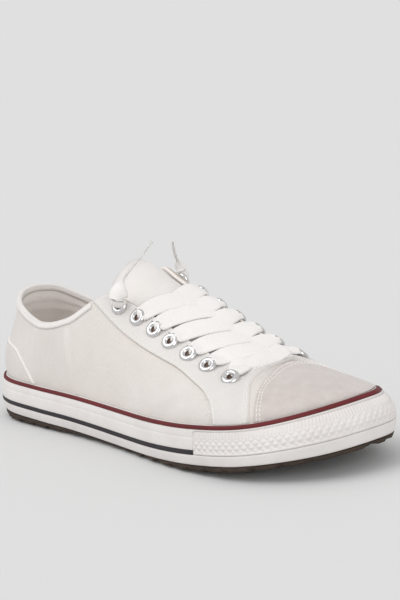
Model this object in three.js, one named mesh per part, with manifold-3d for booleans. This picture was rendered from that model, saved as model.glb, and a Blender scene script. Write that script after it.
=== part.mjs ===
// Low canvas sneaker, right shoe. Millimetres, +X to the toe, +Y to the inner side, +Z up.
// The origin lies under the middle of the shoe, on the floor that it stands on.
import * as THREE from 'three';
import { mergeVertices } from 'three/addons/utils/BufferGeometryUtils.js';
import Module from 'manifold-3d';

const wasm = await Module();
wasm.setup();

// Driving dimensions

const GAP = 0.3;               // clearance between pieces that touch on the real shoe
const WALL = 1.8;              // canvas and lining together
const OVERLAY = 0.9;           // canvas or suede laid over the wall
const TOE_RISE = 17.6;         // how far the toe spring lifts the toe
const SPRING_START = -16.1;    // where the toe spring begins
const SPRING_LENGTH = 158.8;
const PITCH = 0.026;           // the cup sits slightly lower at the ball than at the heel
const PITCH_CENTRE = -87.2;
const CUP_EDGE = 4.8;          // lower edge of the white sidewall above the floor
const CUP_TOP = 25.0;          // upper edge of the sidewall above the floor
const TIP_HEIGHT = 3.0;        // how much taller the sidewall is at the toe's tip
const TIP_FROM = 95;           // where it begins to grow, and where it is tallest
const TIP_TO = 140;
const CUP_HEIGHT = CUP_TOP - CUP_EDGE;
const FLOOR_THICKNESS = 5.0;   // floor of the rubber cup
const INSOLE_THICKNESS = 4.0;
const STRIPE_HEIGHT = 2.0;
const STRIPE_DEPTH = 1.0;

// A table with named columns becomes a list of rows

function table(columns, rows) {
  const names = columns.split(' ');
  return rows.map((row) => Object.fromEntries(names.map((name, i) => [name, row[i]])));
}

// Stations run from the heel round the outer side to the toe and back along the inner side.
// x, y: the sole's outline at its widest; top: how far the sidewall's upper edge lies inside it;
// last: how far the upper lies inside it; lean, rise: how the wall leaves the sidewall;
// fall, reach: the slope in degrees and the pull with which it arrives at its top edge.

const STATIONS = table('x y top last lean rise fall reach', [
  [-137.2, 1.8, 2.4, 5.2, 0.18, 0.30, 84, 0.35],
  [-131.7, -17.2, 2.3, 5.1, 0.18, 0.32, 82, 0.35],
  [-113.2, -28.8, 2.2, 5.0, 0.15, 0.40, 78, 0.35],
  [-82.2, -32.2, 2.1, 4.9, 0.12, 0.40, 75, 0.35],
  [-47.2, -33.8, 2.1, 4.9, 0.05, 0.40, 70, 0.35],
  [-7.2, -38.2, 2.1, 4.9, 0.02, 0.40, 60, 0.35],
  [32.8, -45.2, 2.1, 4.9, 0.02, 0.35, 40, 0.40],
  [62.2, -47.8, 2.1, 4.9, 0.02, 0.32, 30, 0.42],
  [90.8, -45.8, 2.9, 5.7, 0.00, 0.24, 22, 0.45],
  [114.7, -33.5, 5.8, 8.6, 0.00, 0.17, 12, 0.55],
  [130.2, -15.3, 8.6, 11.4, 0.00, 0.12, 9, 0.56],
  [137.0, 11.9, 9.6, 12.4, 0.00, 0.04, 13, 0.40],
  [132.2, 27.0, 8.6, 11.4, 0.00, 0.02, 17, 0.38],
  [117.4, 40.1, 5.8, 8.6, 0.00, 0.04, 22, 0.36],
  [90.8, 47.8, 2.9, 5.7, 0.00, 0.14, 30, 0.38],
  [62.2, 47.8, 2.1, 4.9, 0.02, 0.28, 32, 0.40],
  [32.8, 42.2, 2.1, 4.9, 0.02, 0.35, 40, 0.40],
  [-7.2, 33.2, 2.1, 4.9, 0.02, 0.40, 60, 0.35],
  [-47.2, 30.2, 2.1, 4.9, 0.05, 0.40, 72, 0.35],
  [-82.2, 32.2, 2.1, 4.9, 0.12, 0.40, 75, 0.35],
  [-113.2, 30.2, 2.2, 5.0, 0.15, 0.40, 78, 0.35],
  [-131.7, 19.2, 2.3, 5.1, 0.18, 0.32, 82, 0.35],
]);
const COUNT = STATIONS.length;
const TOE = 11;

// Top edge of the upper: collar, then the throat's edge, at a place s between the stations

const TOP_EDGE = table('s x y z', [
  [0, -116.0, 1.8, 76.0],
  [1, -111.5, -12.5, 74.2],
  [2, -100.0, -21.5, 68.6],
  [3, -78.0, -25.0, 61.4],
  [4, -52.0, -25.0, 65.8],
  [4.6, -34.0, -22.5, 75.3],
  [5, -21.0, -19.5, 81.5],
  [5.4, -10.0, -17.3, 78.0],
  [6, 14.0, -16.0, 68.5],
  [7, 43.0, -16.0, 55.8],
  [8, 64.0, -14.5, 48.8],
  [9, 74.0, -9.0, 47.4],
  [10, 77.5, -3.0, 47.8],
  [11, 78.5, 3.0, 48.0],
  [12, 77.5, 9.0, 48.0],
  [13, 74.0, 15.0, 48.2],
  [14, 64.0, 20.0, 50.4],
  [15, 43.0, 21.0, 58.6],
  [16, 14.0, 21.5, 72.5],
  [16.6, -10.0, 22.5, 83.8],
  [17, -22.0, 23.5, 88.6],
  [17.4, -34.0, 25.5, 80.5],
  [18, -52.0, 29.5, 66.5],
  [19, -78.0, 28.0, 61.8],
  [20, -100.0, 23.5, 68.6],
  [21, -111.5, 15.5, 74.2],
]);

// Underside of the outsole: flat under the heel and the ball, lifted at the arch and the toe

const TREAD = table('x z', [
  [-138.0, 3.2],
  [-126.0, 1.3],
  [-114.0, 0.0],
  [-68.0, 0.0],
  [-50.0, 0.7],
  [-25.0, 0.9],
  [-8.0, 0.4],
  [6.0, 0.0],
  [50.0, 0.0],
  [66.0, 1.0],
  [84.0, 3.2],
  [104.0, 6.6],
  [122.0, 10.0],
  [138.0, 13.0],
]);

// Tongue: sections between the two edges of the throat, at a station of the outer side;
// under: how far it reaches below the wall, as a share of the wall's height; crown: its arch;
// sink: how far it keeps off the wall

const TONGUE = table('s under crown sink', [
  [5.05, 0.13, 0.22, 0.7],
  [5.3, 0.14, 0.20, 0.5],
  [5.6, 0.14, 0.12, 0.3],
  [6.0, 0.14, 0.08, 0.2],
  [6.5, 0.14, 0.08, 0.2],
  [7.0, 0.15, 0.08, 0.2],
  [7.5, 0.15, 0.08, 0.2],
  [8.0, 0.15, 0.08, 0.3],
  [8.5, 0.14, 0.06, 0.6],
  [9.0, 0.13, 0.00, 1.3],
]);
const TONGUE_THICKNESS = 3.0;

// Top of the tongue, above the throat: how far it goes on back and up, and its width there

const TONGUE_TOP = table('back up width', [
  [2.6, 1.6, 0.94],
  [4.6, 2.8, 0.84],
  [5.6, 3.3, 0.70],
]);

// Seams of the overlays on the outer side: a station and a share of the wall's height

const EYESTAY = table('s t', [
  [4.65, 1.00],
  [5.02, 0.73],
  [5.56, 0.63],
  [6.05, 0.61],
  [6.59, 0.59],
  [6.91, 0.53],
  [7.29, 0.41],
  [7.40, 0.20],
  [7.44, 0.00],
  [8.25, 0.00],
  [8.31, 0.25],
  [8.37, 0.47],
  [8.52, 0.76],
  [8.97, 0.90],
  [10.0, 0.95],
]);

const TOE_CAP = table('s t', [
  [8.33, 0.05],
  [8.38, 0.28],
  [8.45, 0.43],
  [8.58, 0.58],
  [8.84, 0.72],
  [9.27, 0.83],
  [9.92, 0.90],
  [11.0, 0.92],
]);

const COUNTER = table('s t', [
  [0.0, 0.46],
  [0.97, 0.47],
  [1.7, 0.46],
  [2.36, 0.42],
  [2.70, 0.20],
  [2.86, 0.03],
]);

// Eyelets of one side, from the toe to the ankle

const EYELETS = table('s t', [
  [7.88, 0.74],
  [7.25, 0.80],
  [6.74, 0.82],
  [6.28, 0.835],
  [5.92, 0.86],
  [5.62, 0.885],
  [5.26, 0.90],
]);

// Curves and interpolation

function straight(rows, key, at, name) {
  const i = Math.max(1, rows.findIndex((row) => row[key] >= at));
  const [a, b] = [rows[i - 1], rows[i]];
  return a[name] + ((b[name] - a[name]) * (at - a[key])) / (b[key] - a[key]);
}

function catmullRom(a, b, c, d, u) {
  const square = u * u;
  const cube = square * u;
  return 0.5 * (2 * b + (c - a) * u + (2 * a - 5 * b + 4 * c - d) * square
    + (3 * b - a - 3 * c + d) * cube);
}

function station(s) {
  const i = Math.floor(s);
  const rows = [-1, 0, 1, 2].map((k) => STATIONS[(((i + k) % COUNT) + COUNT) % COUNT]);
  const result = {};
  for (const key of Object.keys(STATIONS[0])) {
    result[key] = catmullRom(...rows.map((row) => row[key]), s - i);
  }
  return result;
}

// Cubic through unevenly spaced rows; a closed table repeats after its period

function through(rows, key, at, columns, period = 0) {
  const n = rows.length;
  const row = (i) => {
    if (!period) return rows[Math.min(Math.max(i, 0), n - 1)];
    const turn = Math.floor(i / n);
    const found = rows[i - turn * n];
    return { ...found, [key]: found[key] + turn * period };
  };
  let i = 0;
  while (i < n - (period ? 1 : 2) && at >= row(i + 1)[key]) i += 1;
  const [a, b, c, d] = [row(i - 1), row(i), row(i + 1), row(i + 2)];
  const h = c[key] - b[key];
  const u = (at - b[key]) / h;
  return columns.map((name) => {
    const m1 = ((c[name] - a[name]) / (c[key] - a[key])) * h;
    const m2 = ((d[name] - b[name]) / (d[key] - b[key])) * h;
    return (2 * u ** 3 - 3 * u ** 2 + 1) * b[name] + (u ** 3 - 2 * u ** 2 + u) * m1
      + (3 * u ** 2 - 2 * u ** 3) * c[name] + (u ** 3 - u ** 2) * m2;
  });
}

function smooth(from, to, value) {
  const u = Math.min(Math.max((value - from) / (to - from), 0), 1);
  return u * u * (3 - 2 * u);
}

function mix(a, b, u) {
  return a + (b - a) * u;
}

function wrap(s) {
  return ((s % COUNT) + COUNT) % COUNT;
}

// The sole's lift along its length

function lift(x) {
  const spring = Math.max(0, (x - SPRING_START) / SPRING_LENGTH);
  return TOE_RISE * spring * spring - PITCH * (x - PITCH_CENTRE);
}

function outward(s) {
  const ahead = station(wrap(s + 0.01));
  const behind = station(wrap(s - 0.01));
  return new THREE.Vector3(ahead.y - behind.y, behind.x - ahead.x, 0).normalize();
}

// A point of the sole's side, a distance inside the outline and a height above the cup's edge

function soleSide(s, inside, height) {
  const at = station(s);
  const out = outward(s);
  const x = at.x - out.x * inside;
  const y = at.y - out.y * inside;
  const grown = height + (height / CUP_HEIGHT) * TIP_HEIGHT * smooth(TIP_FROM, TIP_TO, x);
  return new THREE.Vector3(x, y, CUP_EDGE + lift(x) + grown);
}

// The upper's outer face: t is 0 at the sidewall's top and 1 at the top edge,
// and below 0 it stands straight down inside the cup

function face(s, t) {
  const at = station(wrap(s));
  const out = outward(wrap(s));
  const start = soleSide(wrap(s), at.last, CUP_HEIGHT);
  if (t < 0) {
    const depth = CUP_HEIGHT - FLOOR_THICKNESS - GAP;
    return start.setZ(start.z + t * depth);
  }
  const end = new THREE.Vector3(...through(TOP_EDGE, 's', wrap(s), ['x', 'y', 'z'], COUNT));
  const span = start.distanceTo(end);
  const leave = new THREE.Vector3(at.lean * out.x, at.lean * out.y, 1).normalize();
  const across = new THREE.Vector3(end.x - start.x, end.y - start.y, 0);
  if (across.length() < 6) across.copy(out).negate();
  across.normalize();
  const slope = THREE.MathUtils.degToRad(at.fall);
  const arrive = across.multiplyScalar(Math.cos(slope)).setZ(Math.sin(slope));
  const near = start.clone().addScaledVector(leave, span * at.rise);
  const far = end.clone().addScaledVector(arrive, -span * at.reach);
  const u = 1 - t;
  return start.multiplyScalar(u ** 3).addScaledVector(near, 3 * u * u * t)
    .addScaledVector(far, 3 * u * t * t).addScaledVector(end, t ** 3);
}

function faceNormal(s, t) {
  if (t < 0) return outward(wrap(s));
  const low = Math.max(t - 0.02, 0);
  const high = Math.min(t + 0.02, 1);
  const along = face(s + 0.03, t).sub(face(s - 0.03, t));
  const up = face(s, high).sub(face(s, low));
  return along.cross(up).normalize();
}

function skin(s, t, offset) {
  return face(s, t).addScaledVector(faceNormal(s, t), offset);
}

// Meshes: a solid is a list of corners and faces, with faces seen counter-clockwise from outside

class Shape {
  constructor() {
    this.points = [];
    this.faces = [];
  }

  add(point) {
    this.points.push(point);
    return this.points.length - 1;
  }

  quad(a, b, c, d) {
    this.faces.push([a, b, c], [a, c, d]);
  }

  // Rows of corners of equal length become a surface; closed rows join their ends
  sheet(rows, closed) {
    const ids = rows.map((row) => row.map((point) => this.add(point)));
    this.join(ids, closed);
    return ids;
  }

  join(ids, closed) {
    for (let i = 0; i + 1 < ids.length; i += 1) {
      const n = ids[i].length;
      for (let j = 0; j < (closed ? n : n - 1); j += 1) {
        const k = (j + 1) % n;
        this.quad(ids[i][j], ids[i][k], ids[i + 1][k], ids[i + 1][j]);
      }
    }
  }

  geometry() {
    const corners = this.faces.flatMap((corner) => corner.flatMap((i) => this.points[i].toArray()));
    const geometry = new THREE.BufferGeometry();
    geometry.setAttribute('position', new THREE.Float32BufferAttribute(corners, 3));
    return geometry;
  }

  solid() {
    const vertProperties = new Float32Array(this.points.flatMap((point) => point.toArray()));
    const triVerts = new Uint32Array(this.faces.flat());
    return new wasm.Manifold(new wasm.Mesh({ numProp: 3, vertProperties, triVerts }));
  }
}

function fromSolid(solid) {
  const mesh = solid.getMesh();
  const shape = new Shape();
  for (let i = 0; i < mesh.vertProperties.length; i += mesh.numProp) {
    shape.add(new THREE.Vector3(...mesh.vertProperties.slice(i, i + 3)));
  }
  for (let i = 0; i < mesh.triVerts.length; i += 3) {
    shape.faces.push([...mesh.triVerts.slice(i, i + 3)]);
  }
  return shape;
}

// A tube of sections: each section is a closed loop of corners. Its ends are closed as a fan,
// or rung by rung where the section is a folded strip that runs out and back

function fan(loop) {
  return range(1, loop.length - 2, loop.length - 3).map((i) => [loop[0], loop[i], loop[i + 1]]);
}

function rungs(loop) {
  const last = loop.length - 1;
  return range(0, loop.length / 2 - 2, loop.length / 2 - 2).flatMap((i) => [
    [loop[i], loop[i + 1], loop[last - i - 1]],
    [loop[i], loop[last - i - 1], loop[last - i]],
  ]);
}

function loft(sections, close = fan) {
  const shape = new Shape();
  const ids = shape.sheet(sections, true);
  for (const [a, b, c] of close(ids[0])) shape.faces.push([a, c, b]);
  shape.faces.push(...close(ids[ids.length - 1]));
  return shape;
}

// A ring of sections closes on itself

function ring(sections) {
  const shape = new Shape();
  const ids = sections.map((section) => section.map((point) => shape.add(point)));
  shape.join([...ids, ids[0]], true);
  return shape;
}

// Two sheets of corners, one over the other, become a slab

function slab(outer, inner) {
  const shape = new Shape();
  const top = shape.sheet(outer, false);
  const under = inner.map((row) => row.map((point) => shape.add(point)));
  for (let i = 0; i + 1 < under.length; i += 1) {
    for (let j = 0; j + 1 < under[i].length; j += 1) {
      const [a, b, c, d] = [under[i][j], under[i][j + 1], under[i + 1][j + 1], under[i + 1][j]];
      shape.faces.push([a, c, b], [a, d, c]);
    }
  }
  shape.join([under[0], top[0]], false);
  shape.join([top[top.length - 1], under[under.length - 1]], false);
  const end = top[0].length - 1;
  for (let i = 0; i + 1 < top.length; i += 1) {
    shape.quad(top[i][0], top[i + 1][0], under[i + 1][0], under[i][0]);
    shape.quad(under[i][end], under[i + 1][end], top[i + 1][end], top[i][end]);
  }
  return shape;
}

function range(from, to, steps) {
  return Array.from({ length: steps + 1 }, (_, i) => mix(from, to, i / steps));
}

// Outsole: slices across the sole, with grooves between the lugs under the heel and the ball

const OUTSOLE_INSET = 1.6;
const GROOVE_DEPTH = 1.1;
const GROOVE_WIDTH = 4.0;
const LUG_PITCH = 13.0;
const ARCH_FROM = -60.0;
const ARCH_TO = 2.0;

function sideAt(x, lateral) {
  let low = lateral ? 0 : TOE;
  let high = lateral ? TOE : COUNT;
  for (let i = 0; i < 40; i += 1) {
    const middle = (low + high) / 2;
    const ahead = soleSide(wrap(middle), OUTSOLE_INSET, 0).x > x;
    if (ahead === lateral) high = middle;
    else low = middle;
  }
  return soleSide(wrap(low), OUTSOLE_INSET, 0).y;
}

function outsole() {
  const ends = [0, TOE].map((s) => soleSide(s, OUTSOLE_INSET, 0).x);
  const cuts = [];
  for (let x = ends[0] + 8; x < ends[1] - 6; x += LUG_PITCH) {
    const inArch = x > ARCH_FROM && x < ARCH_TO;
    if (inArch) cuts.push({ x, depth: 0 });
    else {
      cuts.push({ x, depth: 0 }, { x, depth: GROOVE_DEPTH });
      cuts.push({ x: x + GROOVE_WIDTH, depth: GROOVE_DEPTH }, { x: x + GROOVE_WIDTH, depth: 0 });
    }
  }
  const first = [0.15, 1.2, 3.5].map((step) => ({ x: ends[0] + step, depth: 0 }));
  const last = [3.5, 1.2, 0.15].map((step) => ({ x: ends[1] - step, depth: 0 }));
  const sections = [...first, ...cuts, ...last].map(({ x, depth }) => {
    const lateral = sideAt(x, true);
    const medial = sideAt(x, false);
    const top = CUP_EDGE + lift(x) - GAP;
    const bottom = straight(TREAD, 'x', x, 'z') + depth;
    return [
      new THREE.Vector3(x, lateral, bottom),
      new THREE.Vector3(x, medial, bottom),
      new THREE.Vector3(x, medial, top),
      new THREE.Vector3(x, lateral, top),
    ];
  });
  return loft(sections);
}

// Midsole: a rubber cup whose side has two grooves for the stripes and a step under the bumper

const BUMPER_FROM = 7.05;
const BUMPER_TO = 14.95;
const BUMPER_SEAT = 2.1;       // how deep the toe bumper is let into the side
const BLACK_LOW = 5.5;         // heights above the cup's lower edge
const BLACK_HIGH = 8.2;
const BLACK_DEPTH = 0.9;
const BEVEL = 0.05;            // a groove's walls slope by this much
const BULGE_FROM = 0.45;       // above this share of its height the side leans in

function sideInset(s, height) {
  const share = height / CUP_HEIGHT;
  const foot = 0.9 * (1 - smooth(0, 0.3, share));
  const lean = Math.max(0, (share - BULGE_FROM) / (1 - BULGE_FROM)) ** 1.5;
  return foot + station(s).top * lean;
}

const GROOVE_LOW = CUP_HEIGHT - STRIPE_HEIGHT - GAP;

const SIDE = table('height cut', [
  [0, 0],
  [BLACK_LOW, 0],
  [BLACK_LOW + BEVEL, BLACK_DEPTH],
  [BLACK_HIGH - BEVEL, BLACK_DEPTH],
  [BLACK_HIGH, 0],
  [14.2, 0],
  [14.6, 0.5],
  [GROOVE_LOW - 0.2, 0.2],
  [GROOVE_LOW, STRIPE_DEPTH + GAP],
  [CUP_HEIGHT, STRIPE_DEPTH + GAP],
]);

const STEP = 0.012;

function soleStations() {
  const list = range(0, COUNT, 60).slice(0, -1);
  const special = [BUMPER_FROM, BUMPER_FROM + STEP, BUMPER_TO - STEP, BUMPER_TO];
  const kept = list.filter((s) => special.every((at) => Math.abs(s - at) > 0.12));
  return [...kept, ...special].sort((a, b) => a - b);
}

function underBumper(s) {
  return s > BUMPER_FROM + STEP / 2 && s < BUMPER_TO - STEP / 2;
}

function midsole() {
  const shape = new Shape();
  const stations = soleStations();
  const outer = SIDE.map(({ height, cut }) => stations.map((s) => {
    const seat = underBumper(s) && height > BLACK_LOW && height < GROOVE_LOW;
    return soleSide(s, sideInset(s, height) + (seat ? BUMPER_SEAT : cut), height);
  }));
  const inner = [CUP_HEIGHT, FLOOR_THICKNESS].map((height) => (
    stations.map((s) => soleSide(s, station(s).last - GAP, height))
  ));
  const ids = shape.sheet([...outer, ...inner], true);
  ladder(shape, ids[ids.length - 1], false);
  ladder(shape, ids[0], true);
  return shape;
}

// Rungs between the two sides of a loop that starts at the heel close it with a ruled face

function ladder(shape, loop, down) {
  const push = (a, b, c) => shape.faces.push(down ? [a, c, b] : [a, b, c]);
  let i = 1;
  let j = loop.length - 1;
  push(loop[0], loop[i], loop[j]);
  while (j - i > 1) {
    const outerX = shape.points[loop[i + 1]].x;
    const innerX = shape.points[loop[j - 1]].x;
    if (outerX < innerX) {
      push(loop[i], loop[i + 1], loop[j]);
      i += 1;
    } else {
      push(loop[i], loop[j - 1], loop[j]);
      j -= 1;
    }
  }
}

// Stripes: bands let into the grooves of the side

function band(stations, low, high, depth) {
  return stations.map((s) => [
    soleSide(s, sideInset(s, high), high),
    soleSide(s, sideInset(s, low), low),
    soleSide(s, sideInset(s, low) + depth, low),
    soleSide(s, sideInset(s, high) + depth, high),
  ]);
}

function redStripe() {
  return ring(band(soleStations(), GROOVE_LOW + GAP, CUP_HEIGHT, STRIPE_DEPTH));
}

function blackStripe() {
  const step = 0.02;
  const behind = soleStations().filter((s) => s > BUMPER_TO + 0.1);
  const ahead = soleStations().filter((s) => s < BUMPER_FROM - 0.1).map((s) => s + COUNT);
  const stations = [BUMPER_TO + step, ...behind, ...ahead, BUMPER_FROM + COUNT - step];
  const depth = BLACK_DEPTH - GAP;
  return loft(band(stations, BLACK_LOW + GAP, BLACK_HIGH - GAP, depth));
}

// Toe bumper: a moulded band with a ridge, rows of diamonds and a row of ribs;
// even, odd: how deep the columns lie under the side's outline

const BUMPER_COLUMNS = 78;
const BUMPER = table('height even odd', [
  [17.2, 0.0, 0.7],
  [13.7, 0.0, 0.7],
  [13.2, 0.6, 0.6],
  [11.4, 0.7, 0.0],
  [9.5, 0.0, 0.7],
  [7.6, 0.7, 0.0],
  [6.5, 0.0, 0.0],
  [5.9, 0.5, 0.5],
]);
const BUMPER_BACK = [5.9, 8.2, 14.2, 17.2];

function toeBumper() {
  const step = 0.03;
  const stations = range(BUMPER_FROM + step, BUMPER_TO - step, BUMPER_COLUMNS);
  const depth = BUMPER_SEAT - GAP;
  return loft(stations.map((s, i) => {
    const end = i === 0 || i === BUMPER_COLUMNS;
    const front = BUMPER.map(({ height, even, odd }) => {
      const cut = i % 2 ? odd : even;
      return soleSide(s, sideInset(s, height) + (end ? 0.3 : cut), height);
    });
    const back = BUMPER_BACK.map((height) => soleSide(s, sideInset(s, height) + depth, height));
    return [...front, ...back];
  }));
}

// Insole: a footbed inside the upper's wall, dished a little

function insole() {
  const shape = new Shape();
  const inside = WALL + 2 * GAP;
  const low = FLOOR_THICKNESS + GAP;
  const stations = range(0, COUNT, 38).slice(0, -1);
  const loop = (depth, height) => stations.map((s) => {
    const edge = soleSide(s, station(s).last + inside + depth, height);
    return shape.add(edge);
  });
  const bottom = loop(0, low);
  const rim = loop(0, low + INSOLE_THICKNESS);
  const bed = loop(7, low + INSOLE_THICKNESS - 0.8);
  shape.join([bottom, rim, bed], true);
  ladder(shape, bed, false);
  ladder(shape, bottom, true);
  return shape;
}

// Upper: one wall, open at the collar and throat and underneath

function upperStations() {
  return [...range(0, 4, 9), ...range(4.2, 5.8, 7), ...range(6, 9, 8), ...range(9.4, 12.6, 8),
    ...range(13, 16, 8), ...range(16.2, 17.8, 7), ...range(18, 22, 9)].slice(0, -1);
}

const ROWS = [0.1, 0.25, 0.45, 0.65, 0.83, 1];

function upper() {
  const shape = new Shape();
  const heights = [-1, 0, ...ROWS];
  const wall = (offset) => heights.map((t) => upperStations().map((s) => skin(s, t, offset)));
  const ids = shape.sheet([...wall(0), ...wall(-WALL).reverse()], true);
  shape.join([ids[ids.length - 1], ids[0]], true);
  return shape;
}

// Overlays: a layer of the upper's own form, cut out by a prism over its seam

const LAYER_FOOT = 0.03;       // overlays start just above the sidewall
const LAYER_REACH = 0.5;       // the layer goes on this far past the seam, in stations

function mirrored(rows) {
  return rows.map((row) => ({ ...row, s: COUNT - row.s })).reverse();
}

function layer(from, to) {
  const stations = upperStations().flatMap((s) => [s - COUNT, s]).sort((a, b) => a - b)
    .filter((s) => s > from - LAYER_REACH && s < to + LAYER_REACH);
  const sheet = (offset) => [LAYER_FOOT, ...ROWS].map((t) => stations.map((s) => skin(s, t, offset)));
  return slab(sheet(GAP + OVERLAY), sheet(GAP)).solid();
}

// The outline is seen along Y, as x and z, or from above, as x and y

function prism(outline, from, to, sideways) {
  const shape = new THREE.Shape(outline.map(([x, y]) => new THREE.Vector2(x, y)));
  const geometry = new THREE.ExtrudeGeometry(shape, { depth: to - from, bevelEnabled: false });
  geometry.translate(0, 0, from);
  if (sideways) geometry.rotateX(Math.PI / 2);
  geometry.deleteAttribute('normal');
  geometry.deleteAttribute('uv');
  const merged = mergeVertices(geometry);
  const vertProperties = merged.attributes.position.array;
  const triVerts = new Uint32Array(merged.index.array);
  return new wasm.Manifold(new wasm.Mesh({ numProp: 3, vertProperties, triVerts }));
}

function seam(rows) {
  return rows.map(({ s, t }) => skin(s, t, GAP + OVERLAY));
}

const OUTSIDE = 160;           // well outside the shoe, in every direction

function eyestay(lateral) {
  const rows = lateral ? EYESTAY : mirrored(EYESTAY);
  const line = seam(rows).map((point) => [point.x, point.z]);
  const [first, last] = [line[0], line[line.length - 1]];
  const outline = [...line, [last[0], OUTSIDE], [first[0], OUTSIDE]];
  const cutter = lateral ? prism(outline, -3, OUTSIDE, true) : prism(outline, -OUTSIDE, -3, true);
  return fromSolid(layer(rows[0].s, rows[rows.length - 1].s).intersect(cutter));
}

function toeCap() {
  const rows = [...TOE_CAP, ...mirrored(TOE_CAP).slice(1)];
  const line = seam(rows).map((point) => [point.x, point.y]);
  const outline = [...line, [line[line.length - 1][0], OUTSIDE], [OUTSIDE, OUTSIDE],
    [OUTSIDE, -OUTSIDE], [line[0][0], -OUTSIDE]];
  const cutter = prism(outline, 0, OUTSIDE, false);
  return fromSolid(layer(rows[0].s, rows[rows.length - 1].s).intersect(cutter));
}

function heelCounter() {
  const line = seam(COUNTER).map((point) => [point.x, point.z]);
  const outline = [...line, [line[line.length - 1][0], 0], [-OUTSIDE, 0], [-OUTSIDE, line[0][1]]];
  const cutter = prism(outline, -OUTSIDE, OUTSIDE, true);
  const reach = COUNTER[COUNTER.length - 1].s;
  return fromSolid(layer(-reach, reach).intersect(cutter));
}

// Collar binding: a strip folded over the top edge, from one eyestay round the heel to the other

const BINDING_FROM = 17.4;
const BINDING_TO = 4.6;
const BINDING_DROP = 3.0;
const BINDING_THICKNESS = 0.8;

function binding() {
  const behind = upperStations().filter((s) => s > BINDING_FROM + 0.05);
  const ahead = upperStations().filter((s) => s < BINDING_TO - 0.05);
  const stations = [BINDING_FROM, ...behind, ...ahead, BINDING_TO];
  const near = GAP;
  const far = GAP + BINDING_THICKNESS;
  const section = [[-WALL - far, -BINDING_DROP], [-WALL - far, far], [far, far], [far, -BINDING_DROP],
    [near, -BINDING_DROP], [near, near], [-WALL - near, near], [-WALL - near, -BINDING_DROP]];
  return loft(stations.map((s) => {
    const edge = face(s, 1);
    const up = edge.clone().sub(face(s, ROWS[4])).normalize();
    const out = faceNormal(s, 1);
    return section.map(([aside, above]) => (
      edge.clone().addScaledVector(out, aside).addScaledVector(up, above)
    ));
  }), rungs);
}

// Eyelets: domed rings on the eyestays

const EYELET_SEAT = OVERLAY + 2 * GAP;
const EYELET_HEIGHT = 1.3;
const EYELET = [[2.0, 0], [4.8, 0], [4.1, 1.0], [2.8, EYELET_HEIGHT], [2.0, 0]];

function eyelet() {
  return new THREE.LatheGeometry(EYELET.map(([r, y]) => new THREE.Vector2(r, y)), 8);
}

// Tongue: an arched canvas flap under the throat, with a rounded top

const MARGIN = [0, 0.5, 1];
const ARCH = [1 / 6, 2 / 6, 3 / 6, 4 / 6, 5 / 6];

function underWall(s, t, sink) {
  return skin(s, t, -WALL - GAP - sink);
}

function tongueAt(s) {
  const columns = ['under', 'crown', 'sink'];
  const [under, crown, sink] = columns.map((name) => straight(TONGUE, 's', s, name));
  return { s, under, crown, sink };
}

// The tongue's outer face between the throat's edges: u is 0 at the outer side, 1 at the inner

function overThroat(s, u) {
  const { crown, sink } = tongueAt(s);
  const a = underWall(s, 1, sink);
  const b = underWall(COUNT - s, 1, sink);
  const rise = a.distanceTo(b) * crown * 4 * u * (1 - u);
  const point = a.lerp(b, u);
  const front = s > 8.8 ? (78.5 - point.x) * 4 * u * (1 - u) : 0;
  return point.add(new THREE.Vector3(front, 0, rise));
}

function tongueSection(s) {
  const { under, sink } = tongueAt(s);
  const left = [0, 0.5].map((step) => underWall(s, mix(1 - under, 1, step), sink));
  const right = [0.5, 0].map((step) => underWall(COUNT - s, mix(1 - under, 1, step), sink));
  return [...left, ...range(0, 1, 6).map((u) => overThroat(s, u)), ...right];
}

function tongueFront() {
  const places = [[8.9, 0.84], [9.0, 0.86], [9.3, 0.88], [9.8, 0.89], [10.4, 0.9], [11, 0.9],
    [11.6, 0.9], [12.2, 0.89], [12.7, 0.88], [13.0, 0.86], [13.1, 0.84]];
  return places.map(([s, t]) => underWall(s, t, TONGUE[TONGUE.length - 1].sink));
}

function tongueTop({ back, up, width }) {
  const base = tongueSection(TONGUE[0].s);
  const middle = base[5];
  return base.map((point) => {
    const spread = point.clone().sub(middle);
    return new THREE.Vector3(
      middle.x + spread.x * width - back,
      middle.y + spread.y * width,
      middle.z + spread.z * width + up,
    );
  });
}

function sunk(sections, depth) {
  return sections.map((section, i) => {
    const before = sections[Math.max(i - 1, 0)];
    const after = sections[Math.min(i + 1, sections.length - 1)];
    return section.map((point, j) => {
      const along = after[j].clone().sub(before[j]);
      const next = section[Math.min(j + 1, section.length - 1)];
      const across = next.clone().sub(section[Math.max(j - 1, 0)]);
      return point.clone().addScaledVector(across.cross(along).normalize(), -depth);
    });
  });
}

function tongue() {
  const stations = TONGUE.map(({ s }) => s).reverse();
  const sections = [tongueFront(), ...stations.map(tongueSection), ...TONGUE_TOP.map(tongueTop)];
  return slab(sections, sunk(sections, TONGUE_THICKNESS));
}

// Laces: from each eyelet a ribbon goes over its own side's edge, slants forward across the tongue
// and dips before the other side's edge; the first pair of eyelets shares one straight ribbon

const LACE_WIDTH = 8.5;
const LACE_THICKNESS = 1.0;
const LACE_OVER_EYELET = EYELET_SEAT + EYELET_HEIGHT + 3 * GAP;
const SLANT_FROM = 0.5;        // where a ribbon passes the edges, in steps to the next eyelet
const SLANT_TO = 1.17;
const STRAIGHT_AT = 8.3;       // station of the straight ribbon at the edges, and its bow forward
const STRAIGHT_BOW = 0.2;
const RIBBON = table('across height width', [
  [0.0, 7.0, 1.0],
  [0.2, 4.8, 1.0],
  [0.35, 2.6, 1.0],
  [0.5, 1.2, 1.0],
  [0.65, 0.9, 1.0],
  [0.92, 0.7, 0.9],
]);

function overEyelet({ s, t }, lateral) {
  const at = lateral ? s : COUNT - s;
  return { point: skin(at, t, LACE_OVER_EYELET), up: faceNormal(at, t), width: 0.6 };
}

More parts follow.
